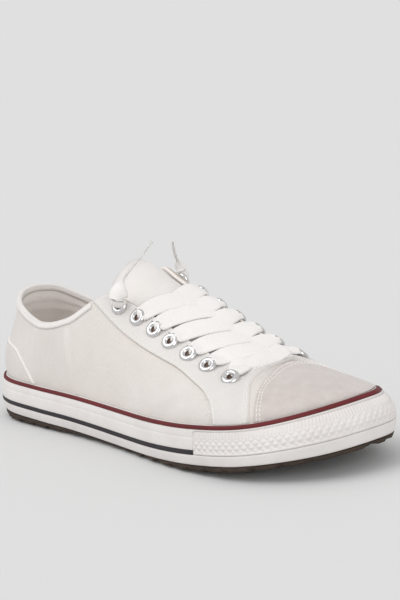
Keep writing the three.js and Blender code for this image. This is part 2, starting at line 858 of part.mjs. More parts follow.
function overTongue(s, u, height, width) {
  const aside = overThroat(s, Math.min(u + 0.02, 1)).sub(overThroat(s, Math.max(u - 0.02, 0)));
  const along = overThroat(s - 0.05, u).sub(overThroat(s + 0.05, u));
  const up = aside.cross(along).normalize();
  return { point: overThroat(s, u).addScaledVector(up, height), up, width };
}

function woven(path) {
  return loft(path.map(({ point, up, width }, i) => {
    const before = path[Math.max(i - 1, 0)].point;
    const after = path[Math.min(i + 1, path.length - 1)].point;
    const travel = after.clone().sub(before).normalize();
    const across = travel.clone().cross(up).normalize().multiplyScalar((LACE_WIDTH * width) / 2);
    const raise = up.clone().multiplyScalar(LACE_THICKNESS);
    return [
      point.clone().add(across),
      point.clone().sub(across),
      point.clone().sub(across).add(raise),
      point.clone().add(across).add(raise),
    ];
  }));
}

function slanting(index, lateral) {
  const from = EYELETS[index];
  const step = EYELETS[index - 1].s - from.s;
  const path = RIBBON.map(({ across, height, width }) => {
    const s = from.s + step * mix(SLANT_FROM, SLANT_TO, across);
    return overTongue(s, lateral ? across : 1 - across, height, width);
  });
  return woven([overEyelet(from, lateral), ...path]);
}

function straightRibbon() {
  const half = RIBBON.filter(({ across }) => across <= 0.5);
  const rows = [...half, ...half.slice(0, -1).reverse().map((row) => ({ ...row, across: 1 - row.across }))];
  const path = rows.map(({ across, height, width }) => {
    const s = STRAIGHT_AT + STRAIGHT_BOW * 4 * across * (1 - across);
    return overTongue(s, across, height, width);
  });
  return woven([overEyelet(EYELETS[0], true), ...path, overEyelet(EYELETS[0], false)]);
}

function laceCrossing(index) {
  if (index === 0) return straightRibbon();
  return fromSolid(slanting(index, true).solid().add(slanting(index, false).solid()));
}

// Lace ends: each comes out of a top eyelet and ends in its tag

const LACE_ENDS = {
  lateral: [[-10.8, -22.0, 75.4], [-10.0, -24.8, 78.0], [-11.2, -25.4, 82.0], [-12.4, -23.6, 85.4],
    [-12.9, -20.0, 88.0], [-13.2, -15.6, 90.4]],
  medial: [[-10.6, 26.0, 80.9], [-10.2, 29.0, 82.2], [-10.6, 30.0, 85.8], [-11.2, 28.2, 89.4],
    [-10.6, 25.2, 91.6]],
};
const TAGS = {
  lateral: [[-13.2, -15.2, 90.8], [-13.0, 7.0, 105.6]],
  medial: [[-10.4, 24.8, 92.0], [-1.1, 12.0, 105.0]],
};
const LACE_END_RADIUS = 1.6;
const TAG_RADIUS = 1.2;

function cord(points, radius, steps) {
  const outline = new THREE.Shape().absarc(0, 0, radius, 0, Math.PI * 2);
  const path = new THREE.CatmullRomCurve3(points.map((point) => new THREE.Vector3(...point)));
  return new THREE.ExtrudeGeometry(outline, { steps, curveSegments: 4, extrudePath: path });
}

// Materials

function finish(color, roughness, metalness = 0) {
  return new THREE.MeshStandardMaterial({ color, roughness, metalness });
}

const FINISH = {
  canvas: finish('#ebe6e1', 0.9),
  suede: finish('#d5ccc7', 0.95),
  rubber: finish('#e6e2de', 0.55),
  red: finish('#731e23', 0.5),
  black: finish('#2a282c', 0.5),
  tread: finish('#62493b', 0.75),
  lining: finish('#d8cdc4', 0.9),
  metal: finish('#c9c9cc', 0.25, 1),
  lace: finish('#f3efec', 0.85),
  tag: finish('#f4f4f4', 0.3),
};

// Assembly

const sneaker = new THREE.Group();

function place(name, form, material) {
  const mesh = new THREE.Mesh(form instanceof Shape ? form.geometry() : form, material);
  mesh.name = name;
  sneaker.add(mesh);
  return mesh;
}

place('outsole', outsole(), FINISH.tread);
place('midsole', midsole(), FINISH.rubber);
place('toe_bumper', toeBumper(), FINISH.rubber);
place('red_stripe', redStripe(), FINISH.red);
place('black_stripe', blackStripe(), FINISH.black);
place('insole', insole(), FINISH.lining);
place('upper', upper(), FINISH.canvas);
place('tongue', tongue(), FINISH.canvas);
place('toe_cap', toeCap(), FINISH.suede);
place('heel_counter', heelCounter(), FINISH.canvas);
place('eyestay_lateral', eyestay(true), FINISH.canvas);
place('eyestay_medial', eyestay(false), FINISH.canvas);
place('collar_binding', binding(), FINISH.canvas);

for (const side of ['lateral', 'medial']) {
  EYELETS.forEach(({ s, t }, i) => {
    const at = side === 'lateral' ? s : COUNT - s;
    const mesh = place(`eyelet_${side}_${i + 1}`, eyelet(), FINISH.metal);
    mesh.position.copy(skin(at, t, EYELET_SEAT));
    mesh.quaternion.setFromUnitVectors(new THREE.Vector3(0, 1, 0), faceNormal(at, t));
  });
}

for (let i = 0; i + 1 < EYELETS.length; i += 1) {
  place(`lace_crossing_${i + 1}`, laceCrossing(i), FINISH.lace);
}

for (const side of ['lateral', 'medial']) {
  place(`lace_end_${side}`, cord(LACE_ENDS[side], LACE_END_RADIUS, 6), FINISH.lace);
  place(`lace_tag_${side}`, cord(TAGS[side], TAG_RADIUS, 1), FINISH.tag);
}

export default sneaker;
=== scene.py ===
"""Low canvas sneaker, right shoe: the looks of every surface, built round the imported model.

Shapes are worked out in millimetres, in the model's own frame: +X to the toe, +Y to the inner side,
+Z up. A place on the upper is a station s, counted from the heel round the outer side to the toe and
back, and a share t of the wall's height from the sidewall to the top edge.
"""

from math import cos, pi, radians, sin

import bpy
import numpy as np
from mathutils import Matrix, Vector
from mathutils.geometry import delaunay_2d_cdt


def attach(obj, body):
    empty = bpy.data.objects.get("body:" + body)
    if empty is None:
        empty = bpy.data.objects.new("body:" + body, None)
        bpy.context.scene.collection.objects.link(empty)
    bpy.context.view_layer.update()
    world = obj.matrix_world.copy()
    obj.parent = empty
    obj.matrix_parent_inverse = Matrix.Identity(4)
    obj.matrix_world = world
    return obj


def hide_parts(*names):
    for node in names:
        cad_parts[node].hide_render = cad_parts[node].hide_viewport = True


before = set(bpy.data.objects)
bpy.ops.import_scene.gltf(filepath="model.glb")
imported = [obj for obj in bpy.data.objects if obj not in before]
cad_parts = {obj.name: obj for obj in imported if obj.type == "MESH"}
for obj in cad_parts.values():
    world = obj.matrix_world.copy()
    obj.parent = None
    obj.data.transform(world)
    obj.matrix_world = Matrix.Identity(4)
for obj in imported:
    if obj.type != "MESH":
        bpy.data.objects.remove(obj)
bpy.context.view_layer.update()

# Camera: the photograph's angle to the shoe, about a point near the middle of its sole

PIVOT = Vector((0.00275, 0.00175, 0.0))
AZIMUTH = radians(47.42)
ELEVATION = radians(15.66)
ROLL = radians(-4.9)
DISTANCE = 0.72947
AIM_RIGHT = 0.01731
AIM_UP = 0.07302
LENS = 79.18
SENSOR = 36.0


def add_camera():
    away = Vector((sin(AZIMUTH) * cos(ELEVATION), -cos(AZIMUTH) * cos(ELEVATION), sin(ELEVATION)))
    across = Vector((cos(AZIMUTH), sin(AZIMUTH), 0.0))
    eye = away * DISTANCE
    aim = across * AIM_RIGHT + away.cross(across) * AIM_UP
    back = (eye - aim).normalized()
    right = Vector((0, 0, 1)).cross(back).normalized()
    up = back.cross(right)
    turned = right * cos(ROLL) + up * sin(ROLL)
    raised = up * cos(ROLL) - right * sin(ROLL)
    data = bpy.data.cameras.new("camera")
    data.lens = LENS
    data.sensor_width = SENSOR
    camera = bpy.data.objects.new("camera", data)
    bpy.context.scene.collection.objects.link(camera)
    turn = Matrix((turned, raised, back)).transposed().to_4x4()
    camera.matrix_world = Matrix.Translation(PIVOT + eye) @ turn
    bpy.context.scene.camera = camera


add_camera()

# Driving dimensions, in millimetres, as in the construction

MM = 0.001
GAP = 0.3
WALL = 1.8
OVERLAY = 0.9
TOE_RISE = 17.6
SPRING_START = -16.1
SPRING_LENGTH = 158.8
PITCH = 0.026
PITCH_CENTRE = -87.2
CUP_EDGE = 4.8
CUP_TOP = 25.0
CUP_HEIGHT = CUP_TOP - CUP_EDGE
TIP_HEIGHT = 3.0
TIP_FROM = 95.0
TIP_TO = 140.0
FLOOR_THICKNESS = 5.0
INSOLE_THICKNESS = 4.0
STRIPE_DEPTH = 1.0
BLACK_LOW = 5.5
BLACK_HIGH = 8.2
BLACK_DEPTH = 0.9
BULGE_FROM = 0.45
BUMPER_FROM = 7.05
BUMPER_TO = 14.95
BUMPER_SEAT = 2.1
BUMPER_LOW = 5.62
BUMPER_HIGH = 17.25
RIDGE_HEIGHT = 6.5
DIAMOND_LENGTH = 4.0
DIAMOND_HEIGHT = 2.0
RIB_PITCH = 1.85
COUNT = 22
STATION_LENGTH = 27.0
WALL_HEIGHT = 46.0
SCALE = np.array([STATION_LENGTH, WALL_HEIGHT])
THROAT_FRONT = 78.5
THROAT_TURNS = 8.8


def table(columns, rows):
    return {name: np.array(values, float) for name, values in zip(columns.split(), zip(*rows))}


STATIONS = table("x y top last lean rise fall reach", [
    (-137.2, 1.8, 2.4, 5.2, 0.18, 0.30, 84, 0.35),
    (-131.7, -17.2, 2.3, 5.1, 0.18, 0.32, 82, 0.35),
    (-113.2, -28.8, 2.2, 5.0, 0.15, 0.40, 78, 0.35),
    (-82.2, -32.2, 2.1, 4.9, 0.12, 0.40, 75, 0.35),
    (-47.2, -33.8, 2.1, 4.9, 0.05, 0.40, 70, 0.35),
    (-7.2, -38.2, 2.1, 4.9, 0.02, 0.40, 60, 0.35),
    (32.8, -45.2, 2.1, 4.9, 0.02, 0.35, 40, 0.40),
    (62.2, -47.8, 2.1, 4.9, 0.02, 0.32, 30, 0.42),
    (90.8, -45.8, 2.9, 5.7, 0.00, 0.24, 22, 0.45),
    (114.7, -33.5, 5.8, 8.6, 0.00, 0.17, 12, 0.55),
    (130.2, -15.3, 8.6, 11.4, 0.00, 0.12, 9, 0.56),
    (137.0, 11.9, 9.6, 12.4, 0.00, 0.04, 13, 0.40),
    (132.2, 27.0, 8.6, 11.4, 0.00, 0.02, 17, 0.38),
    (117.4, 40.1, 5.8, 8.6, 0.00, 0.04, 22, 0.36),
    (90.8, 47.8, 2.9, 5.7, 0.00, 0.14, 30, 0.38),
    (62.2, 47.8, 2.1, 4.9, 0.02, 0.28, 32, 0.40),
    (32.8, 42.2, 2.1, 4.9, 0.02, 0.35, 40, 0.40),
    (-7.2, 33.2, 2.1, 4.9, 0.02, 0.40, 60, 0.35),
    (-47.2, 30.2, 2.1, 4.9, 0.05, 0.40, 72, 0.35),
    (-82.2, 32.2, 2.1, 4.9, 0.12, 0.40, 75, 0.35),
    (-113.2, 30.2, 2.2, 5.0, 0.15, 0.40, 78, 0.35),
    (-131.7, 19.2, 2.3, 5.1, 0.18, 0.32, 82, 0.35),
])

TOP_EDGE = table("s x y z", [
    (0, -116.0, 1.8, 76.0),
    (1, -111.5, -12.5, 74.2),
    (2, -100.0, -21.5, 68.6),
    (3, -78.0, -25.0, 61.4),
    (4, -52.0, -25.0, 65.8),
    (4.6, -34.0, -22.5, 75.3),
    (5, -21.0, -19.5, 81.5),
    (5.4, -10.0, -17.3, 78.0),
    (6, 14.0, -16.0, 68.5),
    (7, 43.0, -16.0, 55.8),
    (8, 64.0, -14.5, 48.8),
    (9, 74.0, -9.0, 47.4),
    (10, 77.5, -3.0, 47.8),
    (11, 78.5, 3.0, 48.0),
    (12, 77.5, 9.0, 48.0),
    (13, 74.0, 15.0, 48.2),
    (14, 64.0, 20.0, 50.4),
    (15, 43.0, 21.0, 58.6),
    (16, 14.0, 21.5, 72.5),
    (16.6, -10.0, 22.5, 83.8),
    (17, -22.0, 23.5, 88.6),
    (17.4, -34.0, 25.5, 80.5),
    (18, -52.0, 29.5, 66.5),
    (19, -78.0, 28.0, 61.8),
    (20, -100.0, 23.5, 68.6),
    (21, -111.5, 15.5, 74.2),
])

TREAD = table("x z", [
    (-138.0, 3.2),
    (-126.0, 1.3),
    (-114.0, 0.0),
    (-68.0, 0.0),
    (-50.0, 0.7),
    (-25.0, 0.9),
    (-8.0, 0.4),
    (6.0, 0.0),
    (50.0, 0.0),
    (66.0, 1.0),
    (84.0, 3.2),
    (104.0, 6.6),
    (122.0, 10.0),
    (138.0, 13.0),
])

TONGUE = table("s under crown sink", [
    (5.05, 0.13, 0.22, 0.7),
    (5.3, 0.14, 0.20, 0.5),
    (5.6, 0.14, 0.12, 0.3),
    (6.0, 0.14, 0.08, 0.2),
    (6.5, 0.14, 0.08, 0.2),
    (7.0, 0.15, 0.08, 0.2),
    (7.5, 0.15, 0.08, 0.2),
    (8.0, 0.15, 0.08, 0.3),
    (8.5, 0.14, 0.06, 0.6),
    (9.0, 0.13, 0.00, 1.3),
])

# Seams on the outer side, as stations and shares of the wall's height

REAR_SEAM = [(4.65, 1.0), (5.02, 0.73), (5.56, 0.63), (6.05, 0.61), (6.59, 0.59), (6.91, 0.53),
             (7.22, 0.43), (7.37, 0.30), (7.42, 0.15), (7.44, 0.0)]
FRONT_SEAM = [(8.23, 0.0), (8.26, 0.22), (8.33, 0.47), (8.49, 0.74), (8.95, 0.90), (9.8, 0.955),
              (11.0, 0.965)]
CAP_SEAM = [(8.32, 0.0), (8.36, 0.22), (8.44, 0.41), (8.58, 0.58), (8.84, 0.73), (9.27, 0.84),
            (9.92, 0.915), (11.0, 0.945)]
COUNTER_SEAM = [(0.0, 0.46), (0.97, 0.47), (1.7, 0.46), (2.30, 0.42), (2.58, 0.28), (2.76, 0.12),
                (2.86, 0.0)]

# Two short rows of stitches that hold the eyestay's rear corner down

BAR_TACKS = [[(7.25, 0.34), (7.46, 0.40), (7.67, 0.47)], [(7.31, 0.15), (7.50, 0.20), (7.70, 0.26)]]

EYELETS = table("s t", [
    (7.88, 0.74),
    (7.25, 0.80),
    (6.74, 0.82),
    (6.28, 0.835),
    (5.92, 0.86),
    (5.62, 0.885),
    (5.26, 0.90),
])

# Soft troughs and ridges pressed into the cloth by wear: where each lies, how long and wide it is
# in millimetres, how far it leans from the sole's line in degrees, and its height, which WEAR scales

WEAR = 1.5
CREASES = table("s t length width angle height", [
    (7.9, 0.30, 9.0, 2.2, 70, -0.5),
    (7.7, 0.52, 8.0, 2.0, 55, 0.4),
    (6.7, 0.30, 14.0, 3.0, 40, -0.5),
    (6.2, 0.22, 12.0, 3.0, 30, 0.4),
    (5.6, 0.35, 16.0, 4.0, 50, -0.5),
    (4.6, 0.45, 18.0, 4.5, 60, -0.6),
    (4.0, 0.40, 16.0, 4.0, 75, 0.5),
    (3.4, 0.55, 12.0, 3.5, 80, -0.5),
    (2.3, 0.65, 10.0, 3.0, 85, -0.4),
    (14.1, 0.30, 9.0, 2.2, -70, -0.5),
    (14.3, 0.52, 8.0, 2.0, -55, 0.4),
    (15.4, 0.30, 14.0, 3.0, -40, -0.5),
    (16.4, 0.35, 16.0, 4.0, -50, -0.5),
    (17.4, 0.45, 18.0, 4.5, -60, -0.6),
    (18.2, 0.40, 16.0, 4.0, -75, 0.5),
    (19.7, 0.65, 10.0, 3.0, -85, -0.4),
])


# The shoe's own surfaces

def station(s, name):
    values = STATIONS[name]
    first = np.floor(s).astype(int)
    u = s - first
    a, b, c, d = (values[(first + k) % COUNT] for k in (-1, 0, 1, 2))
    square = u * u
    return 0.5 * (2 * b + (c - a) * u + (2 * a - 5 * b + 4 * c - d) * square
                  + (3 * b - a - 3 * c + d) * square * u)


def top_edge(s):
    keys = TOP_EDGE["s"]
    rows = len(keys)
    first = np.searchsorted(keys, s, side="right") - 1
    at = [first + k for k in (-1, 0, 1, 2)]
    place = [keys[i % rows] + COUNT * (i // rows) for i in at]
    step = place[2] - place[1]
    u = (s - place[1]) / step
    columns = []
    for name in ("x", "y", "z"):
        a, b, c, d = (TOP_EDGE[name][i % rows] for i in at)
        m1 = (c - a) / (place[2] - place[0]) * step
        m2 = (d - b) / (place[3] - place[1]) * step
        columns.append((2 * u**3 - 3 * u**2 + 1) * b + (u**3 - 2 * u**2 + u) * m1
                       + (3 * u**2 - 2 * u**3) * c + (u**3 - u**2) * m2)
    return np.stack(columns, -1)


def smooth(start, end, value):
    u = np.clip((value - start) / (end - start), 0, 1)
    return u * u * (3 - 2 * u)


def mix(a, b, u):
    return a + (b - a) * u


def unit(vectors):
    return vectors / np.linalg.norm(vectors, axis=-1, keepdims=True)


def along_z(height):
    height = np.asarray(height, float)
    return np.stack([0 * height, 0 * height, height], -1)


def lift(x):
    spring = np.maximum(0, (x - SPRING_START) / SPRING_LENGTH)
    return TOE_RISE * spring * spring - PITCH * (x - PITCH_CENTRE)


def outward(s):
    ahead, behind = np.mod(s + 0.01, COUNT), np.mod(s - 0.01, COUNT)
    x = station(ahead, "y") - station(behind, "y")
    y = station(behind, "x") - station(ahead, "x")
    return unit(np.stack([x, y, 0 * x], -1))


def sole_side(s, inside, height):
    s = np.mod(np.asarray(s, float), COUNT)
    out = outward(s)
    x = station(s, "x") - out[..., 0] * inside
    y = station(s, "y") - out[..., 1] * inside
    grown = height * (1 + TIP_HEIGHT / CUP_HEIGHT * smooth(TIP_FROM, TIP_TO, x))
    return np.stack([x, y, CUP_EDGE + lift(x) + grown], -1)


def side_inset(s, height):
    share = height / CUP_HEIGHT
    foot = 0.9 * (1 - smooth(0, 0.3, share))
    lean = np.maximum(0, (share - BULGE_FROM) / (1 - BULGE_FROM)) ** 1.5
    return foot + station(np.mod(s, COUNT), "top") * lean


def face(s, t):
    s, t = np.broadcast_arrays(np.mod(np.asarray(s, float), COUNT), np.asarray(t, float))
    out = outward(s)
    start = sole_side(s, station(s, "last"), CUP_HEIGHT)
    end = top_edge(s)
    span = np.linalg.norm(end - start, axis=-1, keepdims=True)
    lean = station(s, "lean")[..., None]
    leave = unit(out * lean + along_z(np.ones_like(t)))
    across = (end - start) * np.array([1, 1, 0])
    short = np.linalg.norm(across, axis=-1, keepdims=True) < 6
    across = unit(np.where(short, -out, across))
    slope = np.radians(station(s, "fall"))
    arrive = across * np.cos(slope)[..., None] + along_z(np.sin(slope))
    near = start + leave * span * station(s, "rise")[..., None]
    far = end - arrive * span * station(s, "reach")[..., None]
    w = np.maximum(t, 0)[..., None]
    u = 1 - w
    wall = u**3 * start + 3 * u * u * w * near + 3 * u * w * w * far + w**3 * end
    return wall + along_z(np.minimum(t, 0) * (CUP_HEIGHT - FLOOR_THICKNESS - GAP))


def face_normal(s, t):
    s, t = np.broadcast_arrays(np.asarray(s, float), np.asarray(t, float))
    low, high = np.clip(t - 0.02, 0, 1), np.clip(t + 0.02, 0, 1)
    low = np.minimum(low, 0.96)
    high = np.maximum(high, 0.04)
    along = face(s + 0.03, np.maximum(t, 0)) - face(s - 0.03, np.maximum(t, 0))
    return unit(np.cross(along, face(s, high) - face(s, low)))


def creased(s, t):
    total = np.zeros(np.broadcast(s, t).shape)
    for i in range(len(CREASES["s"])):
        row = {name: values[i] for name, values in CREASES.items()}
        turn = radians(row["angle"])
        a = (s - row["s"]) * STATION_LENGTH
        b = (t - row["t"]) * WALL_HEIGHT
        along = a * cos(turn) + b * sin(turn)
        aside = b * cos(turn) - a * sin(turn)
        total += row["height"] * np.exp(-(along / row["length"]) ** 2 - (aside / row["width"]) ** 2)
    return total * WEAR


def skin(s, t, offset):
    s, t = np.broadcast_arrays(np.asarray(s, float), np.asarray(t, float))
    height = np.broadcast_to(offset, s.shape) + creased(np.mod(s, COUNT), t)
    return face(s, t) + face_normal(s, t) * height[..., None]


def tongue_at(s, name):
    return np.interp(s, TONGUE["s"], TONGUE[name])


def over_throat(s, u, edge_drop=0.0):
    """The tongue's outer face between the throat's edges: u is 0 at the outer, 1 at the inner one."""
    s, u = np.broadcast_arrays(np.asarray(s, float), np.asarray(u, float))
    keep = -WALL - GAP - tongue_at(s, "sink") - edge_drop
    a = face(s, 1.0) + face_normal(s, 1.0) * keep[..., None]
    b = face(COUNT - s, 1.0) + face_normal(COUNT - s, 1.0) * keep[..., None]
    arch = 4 * u * (1 - u)
    rise = np.linalg.norm(b - a, axis=-1) * tongue_at(s, "crown") * arch
    point = a + (b - a) * u[..., None]
    front = np.where(s > THROAT_TURNS, (THROAT_FRONT - point[..., 0]) * arch, 0)
    return point + np.stack([front, 0 * rise, rise], -1)


def throat_normal(s, u):
    across = over_throat(s, np.minimum(u + 0.02, 1)) - over_throat(s, np.maximum(u - 0.02, 0))
    along = over_throat(s - 0.05, u) - over_throat(s + 0.05, u)
    return unit(np.cross(across, along))


# Mesh making

def add_object(name, mesh):
    piece = bpy.data.objects.new(name, mesh)
    bpy.context.scene.collection.objects.link(piece)
    return piece


def add_mesh(name, points, faces, material, uv=None, indices=None):
    """points in millimetres; uv, one pair for each face's corner, or one for each point."""
    mesh = bpy.data.meshes.new(name)
    mesh.from_pydata((np.asarray(points).reshape(-1, 3) * MM).tolist(), [], faces)
    for entry in material if isinstance(material, (list, tuple)) else [material]:
        mesh.materials.append(entry)
    if indices is not None:
        mesh.polygons.foreach_set("material_index", np.asarray(indices, np.int32))
    if uv is not None:
        layer = mesh.uv_layers.new(name="cloth")
        flat = np.asarray(uv, float).reshape(-1, 2)
        if len(flat) != len(mesh.loops):
            corners = np.empty(len(mesh.loops), np.int32)
            mesh.loops.foreach_get("vertex_index", corners)
            flat = flat[corners]
        layer.data.foreach_set("uv", flat.ravel())
    mesh.polygons.foreach_set("use_smooth", np.ones(len(mesh.polygons), bool))
    mesh.update()
    mesh.validate()
    return add_object(name, mesh)


def grid_faces(rows, columns, round_columns=False, round_rows=False):
    """Quads of a grid of points, and for each corner its row and column counted past the seam."""
    i, j = np.meshgrid(np.arange(rows if round_rows else rows - 1),
                       np.arange(columns if round_columns else columns - 1), indexing="ij")
    i, j = i.ravel(), j.ravel()
    row = np.stack([i, i, i + 1, i + 1], -1)
    column = np.stack([j, j + 1, j + 1, j], -1)
    quads = (row % rows) * columns + column % columns
    return quads, row, column


def add_grid(name, points, material, uv_step=None, round_columns=False, round_rows=False,
             extra_faces=(), indices=None):
    """A surface over a grid of points; uv_step gives a corner's uv from its row and column."""
    rows, columns = points.shape[:2]
    quads, row, column = grid_faces(rows, columns, round_columns, round_rows)
    faces = quads.tolist() + list(extra_faces)
    uv = None
    if uv_step is not None:
        uv = uv_step(row, column).reshape(-1, 2).tolist()
        uv += [(0.0, 0.0)] * sum(len(extra) for extra in extra_faces)
    return add_mesh(name, points, faces, material, uv=uv, indices=indices)


def swept(points, cloth_at=None, turned=False):
    """Faces and uv of a closed section carried along a line, with a flat face at each end."""
    sections, count = points.shape[:2]
    quads, row, column = grid_faces(sections, count, True, False)
    last = (sections - 1) * count
    ends = [tuple(reversed(range(count))), tuple(range(last, last + count))]
    step = -1 if turned else 1
    faces = quads[:, ::step].tolist() + [entry[::step] for entry in ends]
    if cloth_at is None:
        return faces, None
    uv = cloth_at(row, column)[:, ::step].reshape(-1, 2)
    return faces, np.concatenate([uv, np.zeros((2 * count, 2))])


def ruled(ids, down):
    """Faces between the two sides of a loop that starts at the heel and is even in number."""
    count = len(ids)
    faces = [(ids[0], ids[1], ids[-1])]
    for i in range(1, count // 2 - 1):
        faces.append((ids[i], ids[i + 1], ids[count - i - 1], ids[count - i]))
    half = count // 2
    faces.append((ids[half - 1], ids[half], ids[half + 1]))
    return [tuple(reversed(entry)) for entry in faces] if down else faces


def lengths(line):
    """The length along a line of points, from its start to each of them."""
    gaps = np.linalg.norm(np.diff(line, axis=0), axis=1)
    return np.concatenate([[0], np.cumsum(gaps)])


def line_through(points, step):
    """A smooth line through points, with corners about a step apart."""
    points = np.asarray(points, float)
    keys = lengths(points)
    slopes = np.gradient(points, keys, axis=0)
    count = max(2, int(round(keys[-1] / step)) + 1)
    at = np.linspace(0, keys[-1], count)
    i = np.clip(np.searchsorted(keys, at, side="right") - 1, 0, len(keys) - 2)
    h = (keys[i + 1] - keys[i])[:, None]
    u = (at - keys[i])[:, None] / h
    return ((2 * u**3 - 3 * u**2 + 1) * points[i] + (u**3 - 2 * u**2 + u) * h * slopes[i]
            + (3 * u**2 - 2 * u**3) * points[i + 1] + (u**3 - u**2) * h * slopes[i + 1])


def seam_line(rows, step=1.0):
    """A seam's points in stations and shares, evenly spaced over the cloth."""
    return line_through(np.array(rows, float) * SCALE, step) / SCALE


def around(count, start=0.0, end=COUNT):
    return start + (end - start) * np.arange(count) / count


# Materials

def new_material(name):
    material = bpy.data.materials.new(name)
    material.use_nodes = True
    tree = material.node_tree
    return material, tree, tree.nodes["Principled BSDF"]


def add_node(tree, kind, **values):
    node = tree.nodes.new(kind)
    for key, value in values.items():
        if hasattr(node, key):
            setattr(node, key, value)
        else:
            node.inputs[key.replace("_", " ")].default_value = value
    return node


def put(node, **values):
    """Set a node's sockets, named with underscores for their spaces."""
    for name, value in values.items():
        node.inputs[name.replace("_", " ")].default_value = value


def noise(tree, vector, scale, detail=2.0, roughness=0.5):
    node = add_node(tree, "ShaderNodeTexNoise")
    put(node, Scale=scale, Detail=detail, Roughness=roughness)
    tree.links.new(vector, node.inputs["Vector"])
    return node.outputs["Fac"]


def ramp(tree, value, stops):
    node = tree.nodes.new("ShaderNodeValToRGB")
    elements = node.color_ramp.elements
    while len(elements) < len(stops):
        elements.new(0.5)
    for element, (position, color) in zip(elements, stops):
        element.position = position
        element.color = (*color, 1.0)
    tree.links.new(value, node.inputs["Fac"])
    return node.outputs["Color"]


def calc(tree, operation, a, b=None):
    node = add_node(tree, "ShaderNodeMath", operation=operation)
    for socket, value in zip(node.inputs, (a, b)):
        if isinstance(value, (int, float)):
            socket.default_value = value
        elif value is not None:
            tree.links.new(value, socket)
    return node.outputs["Value"]


def bump(tree, shader, height, distance, strength=1.0):
    node = add_node(tree, "ShaderNodeBump")
    put(node, Strength=strength, Distance=distance)
    tree.links.new(height, node.inputs["Height"])
    tree.links.new(node.outputs["Normal"], shader.inputs["Normal"])


def object_place(tree):
    return tree.nodes.new("ShaderNodeTexCoord").outputs["Object"]


def cloth_place(tree):
    return tree.nodes.new("ShaderNodeTexCoord").outputs["UV"]


def threads(tree, place, pitch):
    """A plain weave's height: warp and weft go over and under each other, a pitch apart."""
    split = tree.nodes.new("ShaderNodeSeparateXYZ")
    tree.links.new(place, split.inputs["Vector"])
    turns = 2 * pi / (2 * pitch)
    warp = calc(tree, "SINE", calc(tree, "MULTIPLY", split.outputs["X"], turns))
    weft = calc(tree, "SINE", calc(tree, "MULTIPLY", split.outputs["Y"], turns))
    return calc(tree, "MULTIPLY", warp, weft)


def cloth(name, dark, light, pitch, depth, sheen=0.15, roughness=0.9, mottle=18.0):
    material, tree, shader = new_material(name)
    weave = threads(tree, cloth_place(tree), pitch)
    place = object_place(tree)
    patches = noise(tree, place, mottle, 4.0, 0.6)
    fine = noise(tree, place, 900.0, 2.0)
    tone = calc(tree, "ADD", calc(tree, "MULTIPLY", weave, 0.10), patches)
    tone = calc(tree, "ADD", tone, calc(tree, "MULTIPLY", calc(tree, "SUBTRACT", fine, 0.5), 0.35))
    tree.links.new(ramp(tree, tone, [(0.25, dark), (0.75, light)]), shader.inputs["Base Color"])
    put(shader, Roughness=roughness, Sheen_Weight=sheen, Sheen_Roughness=0.5, Specular_IOR_Level=0.25)
    height = calc(tree, "ADD", weave, calc(tree, "MULTIPLY", fine, 1.2))
    bump(tree, shader, height, depth)
    return material


def suede(name, dark, light):
    material, tree, shader = new_material(name)
    place = object_place(tree)
    fibre = noise(tree, place, 1500.0, 3.0, 0.7)
    nap = noise(tree, place, 180.0, 5.0, 0.65)
    wide = noise(tree, place, 35.0, 3.0, 0.5)
    tone = calc(tree, "ADD", calc(tree, "MULTIPLY", nap, 0.6), calc(tree, "MULTIPLY", wide, 0.12))
    tone = calc(tree, "ADD", tone, calc(tree, "MULTIPLY", fibre, 0.25))
    tree.links.new(ramp(tree, tone, [(0.30, dark), (0.66, light)]), shader.inputs["Base Color"])
    put(shader, Roughness=0.95, Sheen_Weight=0.35, Sheen_Roughness=0.4, Specular_IOR_Level=0.15)
    height = calc(tree, "ADD", calc(tree, "MULTIPLY", fibre, 0.6), nap)
    bump(tree, shader, height, 0.0004, 0.8)
    return material


def rubber(name, dark, light, roughness=0.5, scuffs=60.0):
    material, tree, shader = new_material(name)
    place = object_place(tree)
    wide = noise(tree, place, scuffs, 4.0, 0.6)
    fine = noise(tree, place, 1400.0, 2.0)
    tree.links.new(ramp(tree, wide, [(0.3, dark), (0.7, light)]), shader.inputs["Base Color"])
    rough = calc(tree, "ADD", calc(tree, "MULTIPLY", wide, 0.15), roughness - 0.07)
    tree.links.new(rough, shader.inputs["Roughness"])
    put(shader, Specular_IOR_Level=0.4)
    bump(tree, shader, fine, 0.00004, 0.6)
    return material


def metal(name):
    material, tree, shader = new_material(name)
    place = object_place(tree)
    tone = noise(tree, place, 400.0, 3.0)
    colors = [(0.3, (0.58, 0.57, 0.57)), (0.7, (0.74, 0.73, 0.73))]
    tree.links.new(ramp(tree, tone, colors), shader.inputs["Base Color"])
    put(shader, Metallic=1.0)
    rough = calc(tree, "ADD", calc(tree, "MULTIPLY", tone, 0.12), 0.14)
    tree.links.new(rough, shader.inputs["Roughness"])
    return material


def clear_film(name):
    material, tree, shader = new_material(name)
    place = object_place(tree)
    rough = calc(tree, "ADD", calc(tree, "MULTIPLY", noise(tree, place, 500.0), 0.1), 0.35)
    tree.links.new(rough, shader.inputs["Roughness"])
    put(shader, Base_Color=(0.97, 0.96, 0.95, 1.0), Transmission_Weight=0.6, IOR=1.15)
    return material


